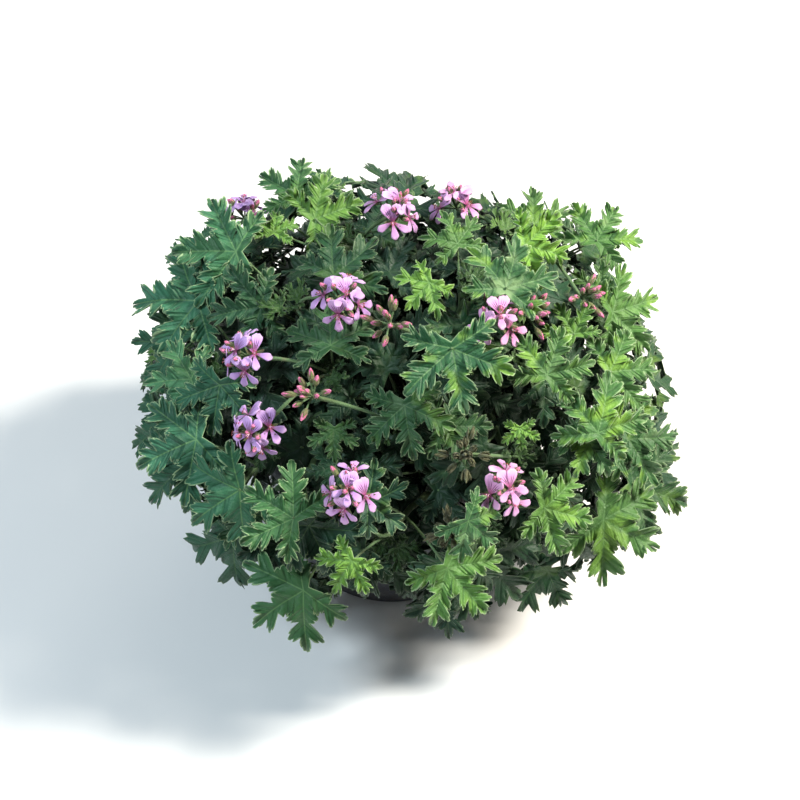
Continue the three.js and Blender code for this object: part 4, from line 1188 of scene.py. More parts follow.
def umbel_calyces(umbel):
    sepals, buds = [], []
    spent = 1.0 if umbel.kind == "spent" else 0.0
    for place, normal, heading, seed in umbel.heads:
        if umbel.kind == "open":
            sepals += calyx_frames(place - normal * 1.6, normal, 0.62, SEPAL_LENGTH, seed)
            continue
        end = place - normal * 2
        axis = unit(end - umbel.heart)
        sepals += calyx_frames(end - axis, axis, 0.1 + 0.16 * spent, 8, seed)
        width = 2.4 - 0.9 * spent
        buds.append(frame_at(end - axis, axis, normal, (width, BUD_LENGTH + 1, width)))
    for place, heading, seed in extra_heads(umbel):
        sepals += calyx_frames(place - heading, heading, 0.1, 6.8 + 1.6 * spent, seed)
        width = 2.2 - 0.8 * spent
        scale = (width, SMALL_BUD_LENGTH, width)
        buds.append(frame_at(place - heading, heading, UP + vector(0.1, 0.2, 0), scale))
    cups = place_copies(sepal, sepals, "cups")
    set_point_values(cups, "petal", 0)
    rolled = place_copies(bud, buds, "rolled")
    set_point_values(rolled, "petal", 1 - spent)
    piece = join([cups, rolled], "calyces_" + umbel.name)
    set_point_values(piece, "spent", spent)
    return piece


calyx_pieces = {u.name: umbel_calyces(u) for u in umbels}
for pattern in (upper_petal, lower_petal, sepal, bud, anther):
    bpy.data.objects.remove(pattern)
print("calyx pieces:", len(calyx_pieces))

# %% [markdown]
# ## Stems and petioles
# A main stem is thick and woody where it leaves the soil, and thins to a soft green tip. It swells a
# little at some places along it, as real stems do at their nodes. The plain solids have straight
# petioles. Here each one is a curve that leaves its shoot nearer to the way the shoot grows and bends
# out to its blade.

# %% The lines of stems, petioles, stalks and pedicels
# Radii of a main stem at the soil, of a side shoot where it leaves, and of every tip
STEM = {"root": 4.2, "branch": 3.1, "tip": 1.7}
SUNK = 12


def shoot_line(shoot):
    shares = np.linspace(0, 1, 19)
    points = [shoot.point(t) for t in shares]
    start = STEM["root"] if shoot.is_main else STEM["branch"]
    swell = 1 + 0.09 * np.abs(np.sin(shares * 13 + shoot.number)) ** 6
    radii = (start + (STEM["tip"] - start) * shares) * swell
    if shoot.is_main:
        points.insert(0, points[0] - shoot.curve.tangent(0) * SUNK)
        radii = np.insert(radii, 0, start)
    return points, radii


def petiole_line(leaf):
    end = leaf.place - leaf.normal * 0.5
    span = np.linalg.norm(end - leaf.node)
    path = Bezier(leaf.node, leaf.node + leaf.leaving * span * 0.5, end)
    size = 0.75 + 0.25 * min(leaf.length / 45, 1.1)
    return bezier_line(path, (1.25 * size, 0.95 * size, 0.85 * size), 6)


def stalk_lines(umbel):
    lines = [bezier_line(umbel.stalk, (1.5, 1.05, 1.2), 9)]
    for place, normal, _, _ in umbel.heads:
        drop = 1.2 if umbel.kind == "open" else 2
        end = place - normal * drop
        bow = umbel.heart + (end - umbel.heart) * 0.5 + umbel.axis * 0.8
        lines.append(bezier_line(Bezier(umbel.heart, bow, end), (0.55, 0.5, 0.85), 4))
    for place, heading, _ in extra_heads(umbel):
        lines.append(bezier_line(Bezier(umbel.heart, place - heading * 0.8), (0.5, 0.7), 2))
    return lines


all_leaves = front_leaves + rosette_leaves + inner_leaves + tip_leaves
print("petioles:", len(all_leaves))

# %% Each stem's tubes
stem_pieces, soft_lines = {}, {}
for stem in ROOTS:
    woody = [shoot_line(shoot) for shoot in shoots.values() if shoot.stem == stem]
    soft = [petiole_line(leaf) for leaf in all_leaves if leaf.stem == stem]
    for umbel in umbels:
        if umbel.stem == stem:
            soft += stalk_lines(umbel)
    thick = tubes("thick", woody, 3)
    set_point_values(thick, "soft", 0)
    thin = tubes("thin", soft, 1)
    set_point_values(thin, "soft", 1)
    stem_pieces[stem] = join([thick, thin], "stems_" + stem)
    soft_lines[stem] = soft
print("faces of the stems:", sum(len(p.data.polygons) for p in stem_pieces.values()))

# %% [markdown]
# ## Hairs
# All the soft green parts are covered with short pale hairs that catch the light. A hair system would
# not be kept in the model that is exported. So a hair is a thin cone with three sides, and each
# petiole and stalk gets a row of them, turned by the golden angle.

# %% Hairs on petioles and stalks
HAIR_LENGTH = 1.3
HAIR_RADIUS = 0.07
HAIR_SPACING = 1.1
deselect_all()
bpy.ops.mesh.primitive_cone_add(vertices=3, radius1=MM, depth=MM, end_fill_type="NGON")
hair = bpy.context.object
shape = vertices_of(hair)
set_vertices(hair, np.column_stack([shape[:, 0], shape[:, 2] + 0.5 * MM, shape[:, 1]]))
hair.data.flip_normals()


def hair_frames(line, seed):
    points, radii = np.array(line[0]), np.array(line[1])
    steps = np.linalg.norm(np.diff(points, axis=0), axis=1)
    reach = np.concatenate([[0], np.cumsum(steps)])
    frames = []
    for k in range(int(reach[-1] / HAIR_SPACING)):
        at = (k + 0.5) * HAIR_SPACING
        place = np.array([np.interp(at, reach, points[:, n]) for n in range(3)])
        part = min(np.searchsorted(reach, at), len(steps)) - 1
        heading = unit(points[part + 1] - points[part])
        out = around(heading, vector(0.3, 0.5, 0.8), math.radians(GOLDEN_ANGLE) * k + seed)
        radius = np.interp(at, reach, radii)
        length = HAIR_LENGTH * (1 + 0.3 * scatter(seed, k))
        scale = (HAIR_RADIUS, length, HAIR_RADIUS)
        frames.append(frame_at(place + out * radius * 0.8, out + heading * 0.3, heading, scale))
    return frames


hair_pieces = {}
for stem, lines in soft_lines.items():
    frames = [f for k, line in enumerate(lines) for f in hair_frames(line, k)]
    hair_pieces[stem] = place_copies(hair, frames, "hairs_" + stem)
bpy.data.objects.remove(hair)
print("faces of all hairs:", sum(len(p.data.polygons) for p in hair_pieces.values()))

# %% [markdown]
# ## The pot
# The pot is hidden in the photograph, so it is a plain nursery pot of slate grey plastic. Its profile
# could be spun, but that leaves a seam to close. So a filled circle is extruded and resized from
# point to point of the profile, up the outside, over the rolled rim and down the inside. The circle
# that it starts from is the underside, and the last one is the floor. Four drain holes are cut
# through it.

# %% The pot's profile


def wall_radius(height):
    return POT["base"] + (POT["rim"] - POT["step"] - POT["base"]) * height / POT["height"]


def pot_profile():
    band_foot = POT["height"] - POT["band"]
    top, wall = POT["height"], POT["wall"]
    outer = [(POT["base"] - 2.2, 0), (POT["base"] - 0.7, 0.5), (wall_radius(2.2), 2.2)]
    outer += [(wall_radius(z), z) for z in (20, 50, 80, 105, 122, band_foot - 2)]
    lip = [(wall_radius(band_foot) + 0.6, band_foot - 0.6), (POT["rim"] - 0.9, band_foot + 0.8)]
    lip += [(POT["rim"] - 0.3, band_foot + 3), (POT["rim"], top - 3), (POT["rim"] - 0.6, top - 0.9)]
    lip += [(POT["rim"] - 2, top), (wall_radius(top) - wall + 0.9, top - 0.2)]
    inner = [(wall_radius(z) - wall, z) for z in (top - 1.2, 120, 80, 40, POT["floor"] + 2)]
    return outer + lip + inner + [(wall_radius(POT["floor"]) - wall - 2, POT["floor"])]


profile = pot_profile()
print("points on the pot's profile:", len(profile))

# %% Pot
POT_SIDES = 96
DRAIN_SIDES = 28


def turned_pot():
    """A filled circle that is extruded from point to point of the profile."""
    deselect_all()
    bpy.ops.mesh.primitive_circle_add(vertices=POT_SIDES, radius=profile[0][0] * MM, fill_type="NGON")
    pot = bpy.context.object
    bpy.ops.object.mode_set(mode="EDIT")
    bpy.ops.mesh.select_mode(type="EDGE")
    bpy.ops.mesh.select_all(action="SELECT")
    bpy.ops.mesh.delete(type="ONLY_FACE")
    bpy.ops.mesh.select_all(action="SELECT")
    bpy.ops.mesh.edge_face_add()
    for (r0, z0), (r1, z1) in zip(profile, profile[1:]):
        bpy.ops.mesh.extrude_region_move(TRANSFORM_OT_translate={"value": (0, 0, (z1 - z0) * MM)})
        grow = r1 / r0
        bpy.ops.transform.resize(value=(grow, grow, 1), center_override=(0, 0, z1 * MM))
    bpy.ops.mesh.select_all(action="SELECT")
    bpy.ops.mesh.normals_make_consistent(inside=False)
    bpy.ops.object.mode_set(mode="OBJECT")
    return pot


def drill_drain_holes(pot):
    for k in range(DRAIN["count"]):
        turn = 2 * math.pi * (k + 0.5) / DRAIN["count"]
        place = (DRAIN["ring"] * math.cos(turn) * MM, DRAIN["ring"] * math.sin(turn) * MM, 0)
        deselect_all()
        bpy.ops.mesh.primitive_cylinder_add(
            vertices=DRAIN_SIDES, radius=DRAIN["radius"] * MM, depth=20 * MM, location=place
        )
        drill = bpy.context.object
        cut = pot.modifiers.new("drain", "BOOLEAN")
        cut.object = drill
        apply_modifiers(pot)
        bpy.data.objects.remove(drill)


pot = turned_pot()
drill_drain_holes(pot)
activate(pot)
bpy.ops.object.shade_smooth_by_angle(angle=math.radians(32))
pot.name = pot.data.name = "nursery_pot"
print("pot faces:", len(pot.data.polygons), "size:", [round(x, 3) for x in pot.dimensions])

# %% [markdown]
# ## The potting soil
# The soil is slightly mounded and lumpy. A flat disc with a bumpy material would still have a flat
# edge against the pot. So a cylinder's top is inset ring by ring and then pushed up and down by
# noise. Crumbs, bark chips and a little white perlite lie on it, each a faceted ball pressed to its
# own shape.

# %% Soil
SOIL_SIDES = 80
SOIL_RINGS = 16
RING_WIDTH = 5.6


def soil_height(x, y):
    """The soil's surface in millimetres at a place in millimetres."""
    reach = math.hypot(x, y) / (wall_radius(SOIL["edge"]) - POT["wall"])
    mound = SOIL["crown"] - 1.5 - (SOIL["crown"] - SOIL["edge"]) * min(reach, 1) ** 2
    lumps = noise.noise((x / 9, y / 9, 0.3)) * 1.6 + noise.noise((x / 3.4, y / 3.4, 4.1)) * 0.9
    return mound + lumps * (1 - 0.6 * min(reach, 1) ** 4)


def make_soil():
    foot = POT["floor"] + 0.4
    edge = SOIL["edge"] - 1
    deselect_all()
    bpy.ops.mesh.primitive_cylinder_add(vertices=SOIL_SIDES, radius=MM, depth=MM, end_fill_type="NGON")
    soil = bpy.context.object
    shape = vertices_of(soil) / MM
    heights = np.where(shape[:, 2] > 0, edge, foot)
    radii = np.array([wall_radius(z) - POT["wall"] - SOIL["gap"] for z in heights])
    set_vertices(soil, np.column_stack([shape[:, 0] * radii, shape[:, 1] * radii, heights]) * MM)
    bpy.ops.object.mode_set(mode="EDIT")
    bpy.ops.mesh.select_mode(type="FACE")
    bpy.ops.mesh.select_all(action="DESELECT")
    bpy.ops.object.mode_set(mode="OBJECT")
    for face in soil.data.polygons:
        face.select = face.normal.z > 0.9
    bpy.ops.object.mode_set(mode="EDIT")
    for _ in range(SOIL_RINGS):
        bpy.ops.mesh.inset(thickness=RING_WIDTH * MM)
    bpy.ops.object.mode_set(mode="OBJECT")
    points = vertices_of(soil) / MM
    for point in points:
        if point[2] > edge - 0.1:
            point[2] = soil_height(point[0], point[1])
    set_vertices(soil, points * MM)
    bpy.ops.object.shade_smooth_by_angle(angle=math.radians(50))
    soil.name = soil.data.name = "soil_body"
    return soil


soil = make_soil()
print("soil faces:", len(soil.data.polygons))

# %% Crumbs, bark and perlite
LITTERED_RADIUS = 94


def lump_pattern(name, dent):
    deselect_all()
    bpy.ops.mesh.primitive_ico_sphere_add(subdivisions=1, radius=MM)
    lump = bpy.context.object
    points = vertices_of(lump)
    for point in points:
        point *= 1 + dent * noise.noise(point / MM * 1.7)
    set_vertices(lump, points)
    lump.name = name
    return lump


def scatter_lumps(pattern, count, name, sizes, flatness, seed):
    frames = []
    for k in range(count):
        reach = LITTERED_RADIUS * math.sqrt((k + 0.5) / count)
        turn = math.radians(GOLDEN_ANGLE * k + 60 * scatter(seed, k))
        x, y = reach * math.cos(turn), reach * math.sin(turn)
        size = sizes[0] + (sizes[1] - sizes[0]) * abs(scatter(seed + 1, k)) ** 2
        tip = vector(0.5 * scatter(seed + 2, k), 0.5 * scatter(seed + 3, k), 1)
        ahead = vector(math.cos(9 * k), math.sin(9 * k), 0.2 * scatter(seed + 4, k))
        place = vector(x, y, soil_height(x, y) + size * flatness * 0.4)
        frames.append(frame_at(place, ahead, tip, (size * 0.7, size, size * flatness)))
    piece = place_copies(pattern, frames, name)
    bpy.data.objects.remove(pattern)
    return piece


crumbs = scatter_lumps(lump_pattern("crumb", 0.5), 260, "soil_crumbs", (1.1, 4), 0.75, 21)
bark = scatter_lumps(lump_pattern("chip", 0.6), 90, "bark_chips", (3, 7), 0.35, 31)
perlite = scatter_lumps(lump_pattern("grain", 0.4), 70, "perlite", (0.9, 2.2), 0.85, 41)
print("loose pieces on the soil:", sum(len(p.data.polygons) for p in (crumbs, bark, perlite)), "faces")

# %% [markdown]
# ## Building a material
# A material is a tree of nodes. `add` puts one node in the tree, links the inputs that are sockets,
# and sets the rest as plain values. `layered` lays colours over each other, as a painter's glazes
# are. Colours are linear.

# %% Nodes


def add(tree, kind, inputs=None, **settings):
    node = tree.nodes.new("ShaderNode" + kind)
    for name, value in settings.items():
        setattr(node, name, value)
    for key, value in (inputs or {}).items():
        if isinstance(value, bpy.types.NodeSocket):
            tree.links.new(value, node.inputs[key])
        else:
            node.inputs[key].default_value = value
    return node


def mix(tree, share, first, second):
    """A colour between two, which are sockets or plain colours."""
    ends = [c if isinstance(c, bpy.types.NodeSocket) else (*c, 1.0) for c in (first, second)]
    return add(tree, "Mix", {0: share, 6: ends[0], 7: ends[1]}, data_type="RGBA").outputs[2]


def layered(tree, colour, *layers):
    """A colour under layers, each a share and its own colour."""
    for share, layer in layers:
        colour = mix(tree, share, colour, layer)
    return colour


def maths(tree, how, *values, clamp=False):
    return add(tree, "Math", dict(enumerate(values)), operation=how, use_clamp=clamp).outputs[0]


def times(tree, first, second):
    return maths(tree, "MULTIPLY", first, second)


def plus(tree, first, second):
    return maths(tree, "ADD", first, second)


def scaled(tree, value, factor, start):
    return maths(tree, "MULTIPLY_ADD", value, factor, start)


def ramp(tree, value, low, high, out_low=0.0, out_high=1.0):
    inputs = {0: value, 1: low, 2: high, 3: out_low, 4: out_high}
    return add(tree, "MapRange", inputs, interpolation_type="SMOOTHSTEP").outputs[0]


def attribute(tree, name):
    return add(tree, "Attribute", attribute_name=name).outputs["Fac"]


def object_place(tree):
    return add(tree, "TexCoord").outputs["Object"]


def object_axes(tree):
    return add(tree, "SeparateXYZ", {0: object_place(tree)}).outputs


# %% A new material


def new_material(name, **surface):
    """A material with a Principled shader. What is the same all over is set on its own sockets."""
    material = bpy.data.materials.new(name)
    material.use_nodes = True
    tree = material.node_tree
    tree.nodes.clear()
    shader = add(tree, "BsdfPrincipled")
    output = add(tree, "OutputMaterial")
    tree.links.new(shader.outputs[0], output.inputs[0])
    for socket, value in surface.items():
        shader.inputs[socket.replace("_", " ")].default_value = value
    return material, tree, shader


def wire(tree, shader, **sockets):
    for socket, value in sockets.items():
        tree.links.new(value, shader.inputs[socket.replace("_", " ")])


# %% [markdown]
# ## Shared effects
# Three effects come back again and again, so each is a group with named inputs. Mottling is the
# uneven colour of anything that grew or was moulded. A soft line is drawn where a distance kept on
# the mesh is small, as along a vein. Fuzz is the height of a coat of fine short hairs, and on the pot
# that of the moulded grain.

# %% Shader groups


def new_group(name, inputs, outputs):
    group = bpy.data.node_groups.new(name, "ShaderNodeTree")
    for title, value in inputs.items():
        socket = group.interface.new_socket(title, in_out="INPUT", socket_type="NodeSocketFloat")
        socket.default_value = value
    for title in outputs:
        group.interface.new_socket(title, in_out="OUTPUT", socket_type="NodeSocketFloat")
    return group, group.nodes.new("NodeGroupInput"), group.nodes.new("NodeGroupOutput")


def make_mottling():
    group, source, result = new_group("mottling", {"Scale": 60.0, "Contrast": 1.0}, ["Broad", "Fine"])
    place = object_place(group)
    broad = add(group, "TexNoise", {"Vector": place, "Scale": source.outputs["Scale"], "Detail": 3.0})
    finer = times(group, source.outputs["Scale"], 7.0)
    fine = add(group, "TexNoise", {"Vector": place, "Scale": finer, "Detail": 4.0, "Roughness": 0.65})
    for title, texture in (("Broad", broad), ("Fine", fine)):
        centred = maths(group, "SUBTRACT", texture.outputs["Fac"], 0.5)
        strong = times(group, centred, source.outputs["Contrast"])
        group.links.new(maths(group, "ADD", strong, 0.5, clamp=True), result.inputs[title])
    return group


def make_soft_line():
    group, source, result = new_group("soft line", {"Distance": 0.0, "Width": 0.001}, ["Line"])
    share = maths(group, "DIVIDE", source.outputs["Distance"], source.outputs["Width"])
    group.links.new(ramp(group, share, 0.0, 1.0, 1.0, 0.0), result.inputs["Line"])
    return group


def make_fuzz():
    group, source, result = new_group("fuzz", {"Scale": 2500.0}, ["Height"])
    place = object_place(group)
    hairs = add(group, "TexNoise", {"Vector": place, "Scale": source.outputs["Scale"], "Detail": 2.0})
    tufts = add(group, "TexVoronoi", {"Vector": place, "Scale": source.outputs["Scale"]})
    height = maths(group, "SUBTRACT", hairs.outputs["Fac"], tufts.outputs["Distance"])
    group.links.new(height, result.inputs["Height"])
    return group


GROUPS = {"mottling": make_mottling(), "soft line": make_soft_line(), "fuzz": make_fuzz()}


def use(tree, name, inputs):
    return add(tree, "Group", inputs, node_tree=GROUPS[name]).outputs


def mottling(tree, scale, contrast):
    return use(tree, "mottling", {"Scale": scale, "Contrast": contrast})


def soft_line(tree, distance, width):
    """A line of this width along the veins or the edge whose distance is kept on the mesh."""
    return use(tree, "soft line", {"Distance": attribute(tree, distance), "Width": width})["Line"]


def fuzz(tree, scale):
    return use(tree, "fuzz", {"Scale": scale})["Height"]


def bump(tree, height, depth):
    return add(tree, "Bump", {"Height": height, "Distance": depth}).outputs[0]


print("shader groups:", ", ".join(GROUPS))

# %% [markdown]
# ## Leaf
# A blade is a deep matte green above, with sunken veins darkened by painted shade and a paler hairy
# margin lightened by a painted highlight, and a grey paler green below. Young leaves are a fresh yellow
# green. Light is painted in by where a leaf stands: the leaves on the sunny side of the bush are
# painted warmer, with painted lime patches of sun and pale painted sheen, the shaded ones are painted
# bluer, and those deep inside get painted shade. A painted picture would look alike on every leaf. So
# the colour comes from noise, from values kept on each leaf, and from where in the bush it stands.

# %% Leaf material
LEAF_DEEP = (0.011, 0.054, 0.030)
LEAF_MID = (0.023, 0.100, 0.034)
LEAF_WARM = (0.058, 0.145, 0.036)
LEAF_PAINTED_SHADE_BLUE = (0.042, 0.170, 0.092)
LEAF_PAINTED_SUN_LIME = (0.150, 0.290, 0.034)
LEAF_PAINTED_SHEEN = (0.200, 0.310, 0.150)
LEAF_YOUNG = (0.170, 0.340, 0.045)
LEAF_UNDER = (0.100, 0.180, 0.095)
LEAF_MARGIN_AND_HIGHLIGHT = (0.420, 0.560, 0.290)
LEAF_RIB = (0.150, 0.300, 0.100)
LEAF_PAINTED_GROOVE_SHADE = (0.008, 0.030, 0.014)
LEAF_SHADE = (0.006, 0.026, 0.011)


def leaf_material():
    material, tree, shader = new_material(
        "leaf", Sheen_Weight=0.1, Sheen_Roughness=0.4, Specular_IOR_Level=0.3
    )
    mottle = mottling(tree, 45.0, 1.6)
    place = object_axes(tree)
    # Painted sunlight: leaves to the upper right, where the key light falls, are lifted to warmer greens
    sunny = ramp(tree, plus(tree, place[0], times(tree, place[2], 0.7)), 0.04, 0.36)
    tone = scaled(tree, attribute(tree, "tone"), 0.44, 0.36)
    painted_sun_and_tone = plus(tree, times(tree, sunny, 0.24), tone)
    patches = ramp(tree, mottle["Broad"], 0.25, 0.65, 0.25, 0.95)
    rib, groove = soft_line(tree, "rib", 0.0008), soft_line(tree, "rib", 0.0034)
    vein, edge = soft_line(tree, "vein", 0.0013), soft_line(tree, "edge", 0.0009)
    colour = layered(
        tree,
        LEAF_DEEP,
        (ramp(tree, painted_sun_and_tone, 0.0, 0.75), LEAF_MID),
        (ramp(tree, painted_sun_and_tone, 0.6, 1.2), LEAF_WARM),
        (ramp(tree, mottle["Fine"], 0.2, 0.9, 0.0, 0.35), LEAF_MID),
        # Painted shade: leaves on the left side, away from the key light, are tinted bluer in patches
        (times(tree, ramp(tree, place[0], -0.05, -0.17), patches), LEAF_PAINTED_SHADE_BLUE),
        # Painted sunlight: lime patches of sun on the leaves of the sunny side
        (times(tree, ramp(tree, mottle["Broad"], 0.52, 0.72, 0.0, 0.95), sunny), LEAF_PAINTED_SUN_LIME),
        # Painted sheen: pale greyish highlights in patches on the leaves of the sunny side
        (times(tree, ramp(tree, mottle["Broad"], 0.4, 0.15, 0.0, 0.8), sunny), LEAF_PAINTED_SHEEN),
        (attribute(tree, "age"), LEAF_YOUNG),
        # Painted shade: the sunken midribs and side veins are darkened as if shade lay in their grooves
        (times(tree, groove, 0.25), LEAF_PAINTED_GROOVE_SHADE),
        (times(tree, vein, 0.25), LEAF_PAINTED_GROOVE_SHADE),
        (times(tree, rib, 0.45), LEAF_RIB),
        # The pale hairy margin, made paler still by a painted highlight along the curled edge
        (times(tree, edge, 0.6), LEAF_MARGIN_AND_HIGHLIGHT),
        (times(tree, attribute(tree, "under"), 0.8), LEAF_UNDER),
        # Painted shade: leaves inside the bush are darkened by their depth in the canopy
        (times(tree, attribute(tree, "deep"), 0.85), LEAF_SHADE),
    )
    rough = ramp(tree, mottle["Fine"], 0.0, 1.0, 0.36, 0.58)
    sunken = plus(tree, times(tree, groove, 0.8), times(tree, vein, 0.5))
    puffed = maths(tree, "SUBTRACT", times(tree, mottle["Fine"], 0.8), sunken)
    height = plus(tree, puffed, times(tree, fuzz(tree, 1600.0), 0.12))
    wire(tree, shader, Base_Color=colour, Roughness=rough, Normal=bump(tree, height, 0.0007))
    return material


leaf_green = leaf_material()
print("leaf material:", len(leaf_green.node_tree.nodes), "nodes")

# %% [markdown]
# ## Stem
# The soft stems are dull green and hairy, flushed with red in places, and the old wood near the soil
# is brown. Height alone would turn the lowest petioles brown too, so the mesh says what is soft.

# %% Stem material
STEM_GREEN = (0.065, 0.130, 0.048)
STEM_PALE = (0.150, 0.235, 0.105)
STEM_FLUSH = (0.160, 0.100, 0.060)
STEM_WOOD = (0.130, 0.085, 0.050)
HAIR_GREEN = (0.20, 0.30, 0.14)
HAIR_PALE = (0.45, 0.55, 0.36)


def stem_material():
    material, tree, shader = new_material(
        "stem", Sheen_Weight=0.12, Sheen_Roughness=0.35, Specular_IOR_Level=0.3
    )
    mottle = mottling(tree, 80.0, 1.5)
    low = ramp(tree, object_axes(tree)[2], 0.135, 0.2, 1.0, 0.0)
    hard = maths(tree, "SUBTRACT", 1.0, attribute(tree, "soft"))
    colour = layered(
        tree,
        STEM_GREEN,
        (mottle["Fine"], STEM_PALE),
        (ramp(tree, mottle["Broad"], 0.55, 0.85, 0.0, 0.5), STEM_FLUSH),
        (times(tree, low, hard), STEM_WOOD),
    )
    rough = ramp(tree, mottle["Broad"], 0.0, 1.0, 0.5, 0.72)
    height = plus(tree, fuzz(tree, 1800.0), mottle["Fine"])
    wire(tree, shader, Base_Color=colour, Roughness=rough, Normal=bump(tree, height, 0.0003))
    return material


def hair_material():
    material, tree, shader = new_material("hair", Specular_IOR_Level=0.4, Roughness=0.45)
    wire(tree, shader, Base_Color=mix(tree, mottling(tree, 200.0, 1.0)["Fine"], HAIR_GREEN, HAIR_PALE))
    return material


stem_green, pale_hair = stem_material(), hair_material()
print("stem material:", len(stem_green.node_tree.nodes), "nodes")

# %% [markdown]
# ## Petals, stamens and sepals
# The petals are mauve with painted shade on the shaded side of the bush and are painted pinker where
# the sun falls, with a deep pink throat.
# The upper two are feathered with dark purple lines that fan out from the claw. The stamens carry
# dark red anthers, and the buds are a strong pink between olive sepals, which turn brown when spent.

# %% Petal material
PETAL_LILAC = (0.600, 0.340, 0.800)
PETAL_PINK = (0.860, 0.360, 0.640)
PETAL_PALE = (0.880, 0.660, 0.880)
PETAL_THROAT = (0.560, 0.030, 0.180)
PETAL_FEATHER = (0.110, 0.008, 0.070)


def petal_material():
    material, tree, shader = new_material("petal", Sheen_Weight=0.15, Specular_IOR_Level=0.3)
    mottle = mottling(tree, 300.0, 1.2)
    along, beside = attribute(tree, "along"), attribute(tree, "beside")
    stripes = maths(tree, "COSINE", times(tree, beside, 15.0))
    branching = scaled(tree, mottle["Broad"], 0.8, -0.4)
    lines = ramp(tree, plus(tree, stripes, branching), -0.1, 0.7)
    middle = ramp(tree, maths(tree, "ABSOLUTE", beside), 0.95, 0.5)
    ends = times(tree, ramp(tree, along, 0.12, 0.26), ramp(tree, along, 0.78, 0.42))
    feather = times(tree, times(tree, lines, middle), ends)
    strength = scaled(tree, attribute(tree, "upper"), 0.85, 0.12)
    colour = layered(
        tree,
        PETAL_LILAC,
        # Painted light: the tone is mostly the umbel's side of the bush, pinker in painted sun
        (ramp(tree, attribute(tree, "tone"), -1.0, 1.0), PETAL_PINK),
        (times(tree, ramp(tree, along, 0.45, 1.0), 0.35), PETAL_PALE),
        (ramp(tree, along, 0.42, 0.05, 0.0, 0.75), PETAL_THROAT),
        (times(tree, feather, strength), PETAL_FEATHER),
    )
    rough = ramp(tree, mottle["Fine"], 0.0, 1.0, 0.42, 0.6)
    veins = maths(tree, "COSINE", times(tree, beside, 30.0))
    wire(tree, shader, Base_Color=colour, Roughness=rough, Normal=bump(tree, veins, 0.00012))
    return material


petal_mauve = petal_material()
print("petal material:", len(petal_mauve.node_tree.nodes), "nodes")

# %% Stamen and sepal materials
THREAD_PINK = (0.72, 0.36, 0.55)
THREAD_PALE = (0.85, 0.66, 0.8)
ANTHER_DARK = (0.12, 0.015, 0.02)
ANTHER_RUST = (0.42, 0.10, 0.05)
BUD_PINK = (0.560, 0.110, 0.220)
SEPAL_GREEN = (0.130, 0.190, 0.060)
SEPAL_BROWN = (0.150, 0.100, 0.055)
SEPAL_HAIRY = (0.36, 0.42, 0.22)
SPENT_BROWN = (0.095, 0.095, 0.048)


def stamen_material():
    material, tree, shader = new_material("stamen", Specular_IOR_Level=0.35, Roughness=0.5)
    mottle = mottling(tree, 400.0, 1.0)
    thread = mix(tree, mottle["Broad"], THREAD_PINK, THREAD_PALE)
    dust = mix(tree, mottle["Fine"], ANTHER_DARK, ANTHER_RUST)
    wire(tree, shader, Base_Color=mix(tree, attribute(tree, "anther"), thread, dust))
    return material


def calyx_material():
    material, tree, shader = new_material(
        "calyx", Sheen_Weight=0.2, Sheen_Roughness=0.35, Specular_IOR_Level=0.3
    )
    mottle = mottling(tree, 150.0, 1.8)
    rolled_petals = mix(tree, ramp(tree, mottle["Fine"], 0.3, 1.0), BUD_PINK, PETAL_PINK)
    tip = ramp(tree, attribute(tree, "along"), 0.3, 0.62)
    colour = layered(
        tree,
        SEPAL_GREEN,
        (mottle["Broad"], SEPAL_BROWN),
        (times(tree, attribute(tree, "spent"), 0.75), SPENT_BROWN),
        (ramp(tree, mottle["Fine"], 0.55, 0.95, 0.0, 0.4), SEPAL_HAIRY),
        (times(tree, attribute(tree, "petal"), tip), rolled_petals),
    )
    rough = ramp(tree, mottle["Broad"], 0.0, 1.0, 0.5, 0.7)
    height = plus(tree, fuzz(tree, 2000.0), mottle["Fine"])
    wire(tree, shader, Base_Color=colour, Roughness=rough, Normal=bump(tree, height, 0.0003))
    return material


stamen_rust, calyx_olive = stamen_material(), calyx_material()
print("sepal material:", len(calyx_olive.node_tree.nodes), "nodes")

# %% [markdown]
# ## Pot and soil
# The pot's plastic is slate grey with a fine moulded grain, paler scuffs round its rim, and a film of
# dust and dried splashes near its foot. Wear in the same strength all over looks like dirt on the
# lens, so each kind is held to the height where it comes from. The soil is dark and crumbly, and its
# crumbs, bark and perlite share one material function with colours of their own.

# %% Pot and soil materials
PLASTIC = (0.026, 0.030, 0.040)
SCUFF = (0.110, 0.115, 0.130)
SPLASH = (0.120, 0.108, 0.092)


def pot_material():
    material, tree, shader = new_material("slate plastic", Specular_IOR_Level=0.4)
    mottle = mottling(tree, 30.0, 1.6)
    z = object_axes(tree)[2]
    rim, foot = ramp(tree, z, 0.125, 0.15, 0.0, 0.8), ramp(tree, z, 0.05, 0.0, 0.0, 0.6)
    colour = layered(
        tree,
        PLASTIC,
        (ramp(tree, mottle["Broad"], 0.2, 0.9, 0.0, 0.25), SCUFF),
        (times(tree, rim, ramp(tree, mottle["Fine"], 0.55, 0.85)), SCUFF),
        (times(tree, foot, ramp(tree, mottle["Fine"], 0.3, 0.9)), SPLASH),
    )
    rough = ramp(tree, mottle["Fine"], 0.1, 0.9, 0.38, 0.62)
    height = plus(tree, fuzz(tree, 900.0), mottle["Fine"])
    wire(tree, shader, Base_Color=colour, Roughness=rough, Normal=bump(tree, height, 0.00015))
    return material


def earth_material(name, dark, light, scale):
    material, tree, shader = new_material(name, Specular_IOR_Level=0.2)
    mottle = mottling(tree, scale, 2.0)
    colour = mix(tree, mottle["Fine"], dark, light)
    colour = mix(tree, ramp(tree, mottle["Broad"], 0.3, 0.8, 0.0, 0.5), colour, dark)
    rough = ramp(tree, mottle["Broad"], 0.0, 1.0, 0.8, 0.97)
    wire(tree, shader, Base_Color=colour, Roughness=rough, Normal=bump(tree, mottle["Fine"], 0.0012))
    return material


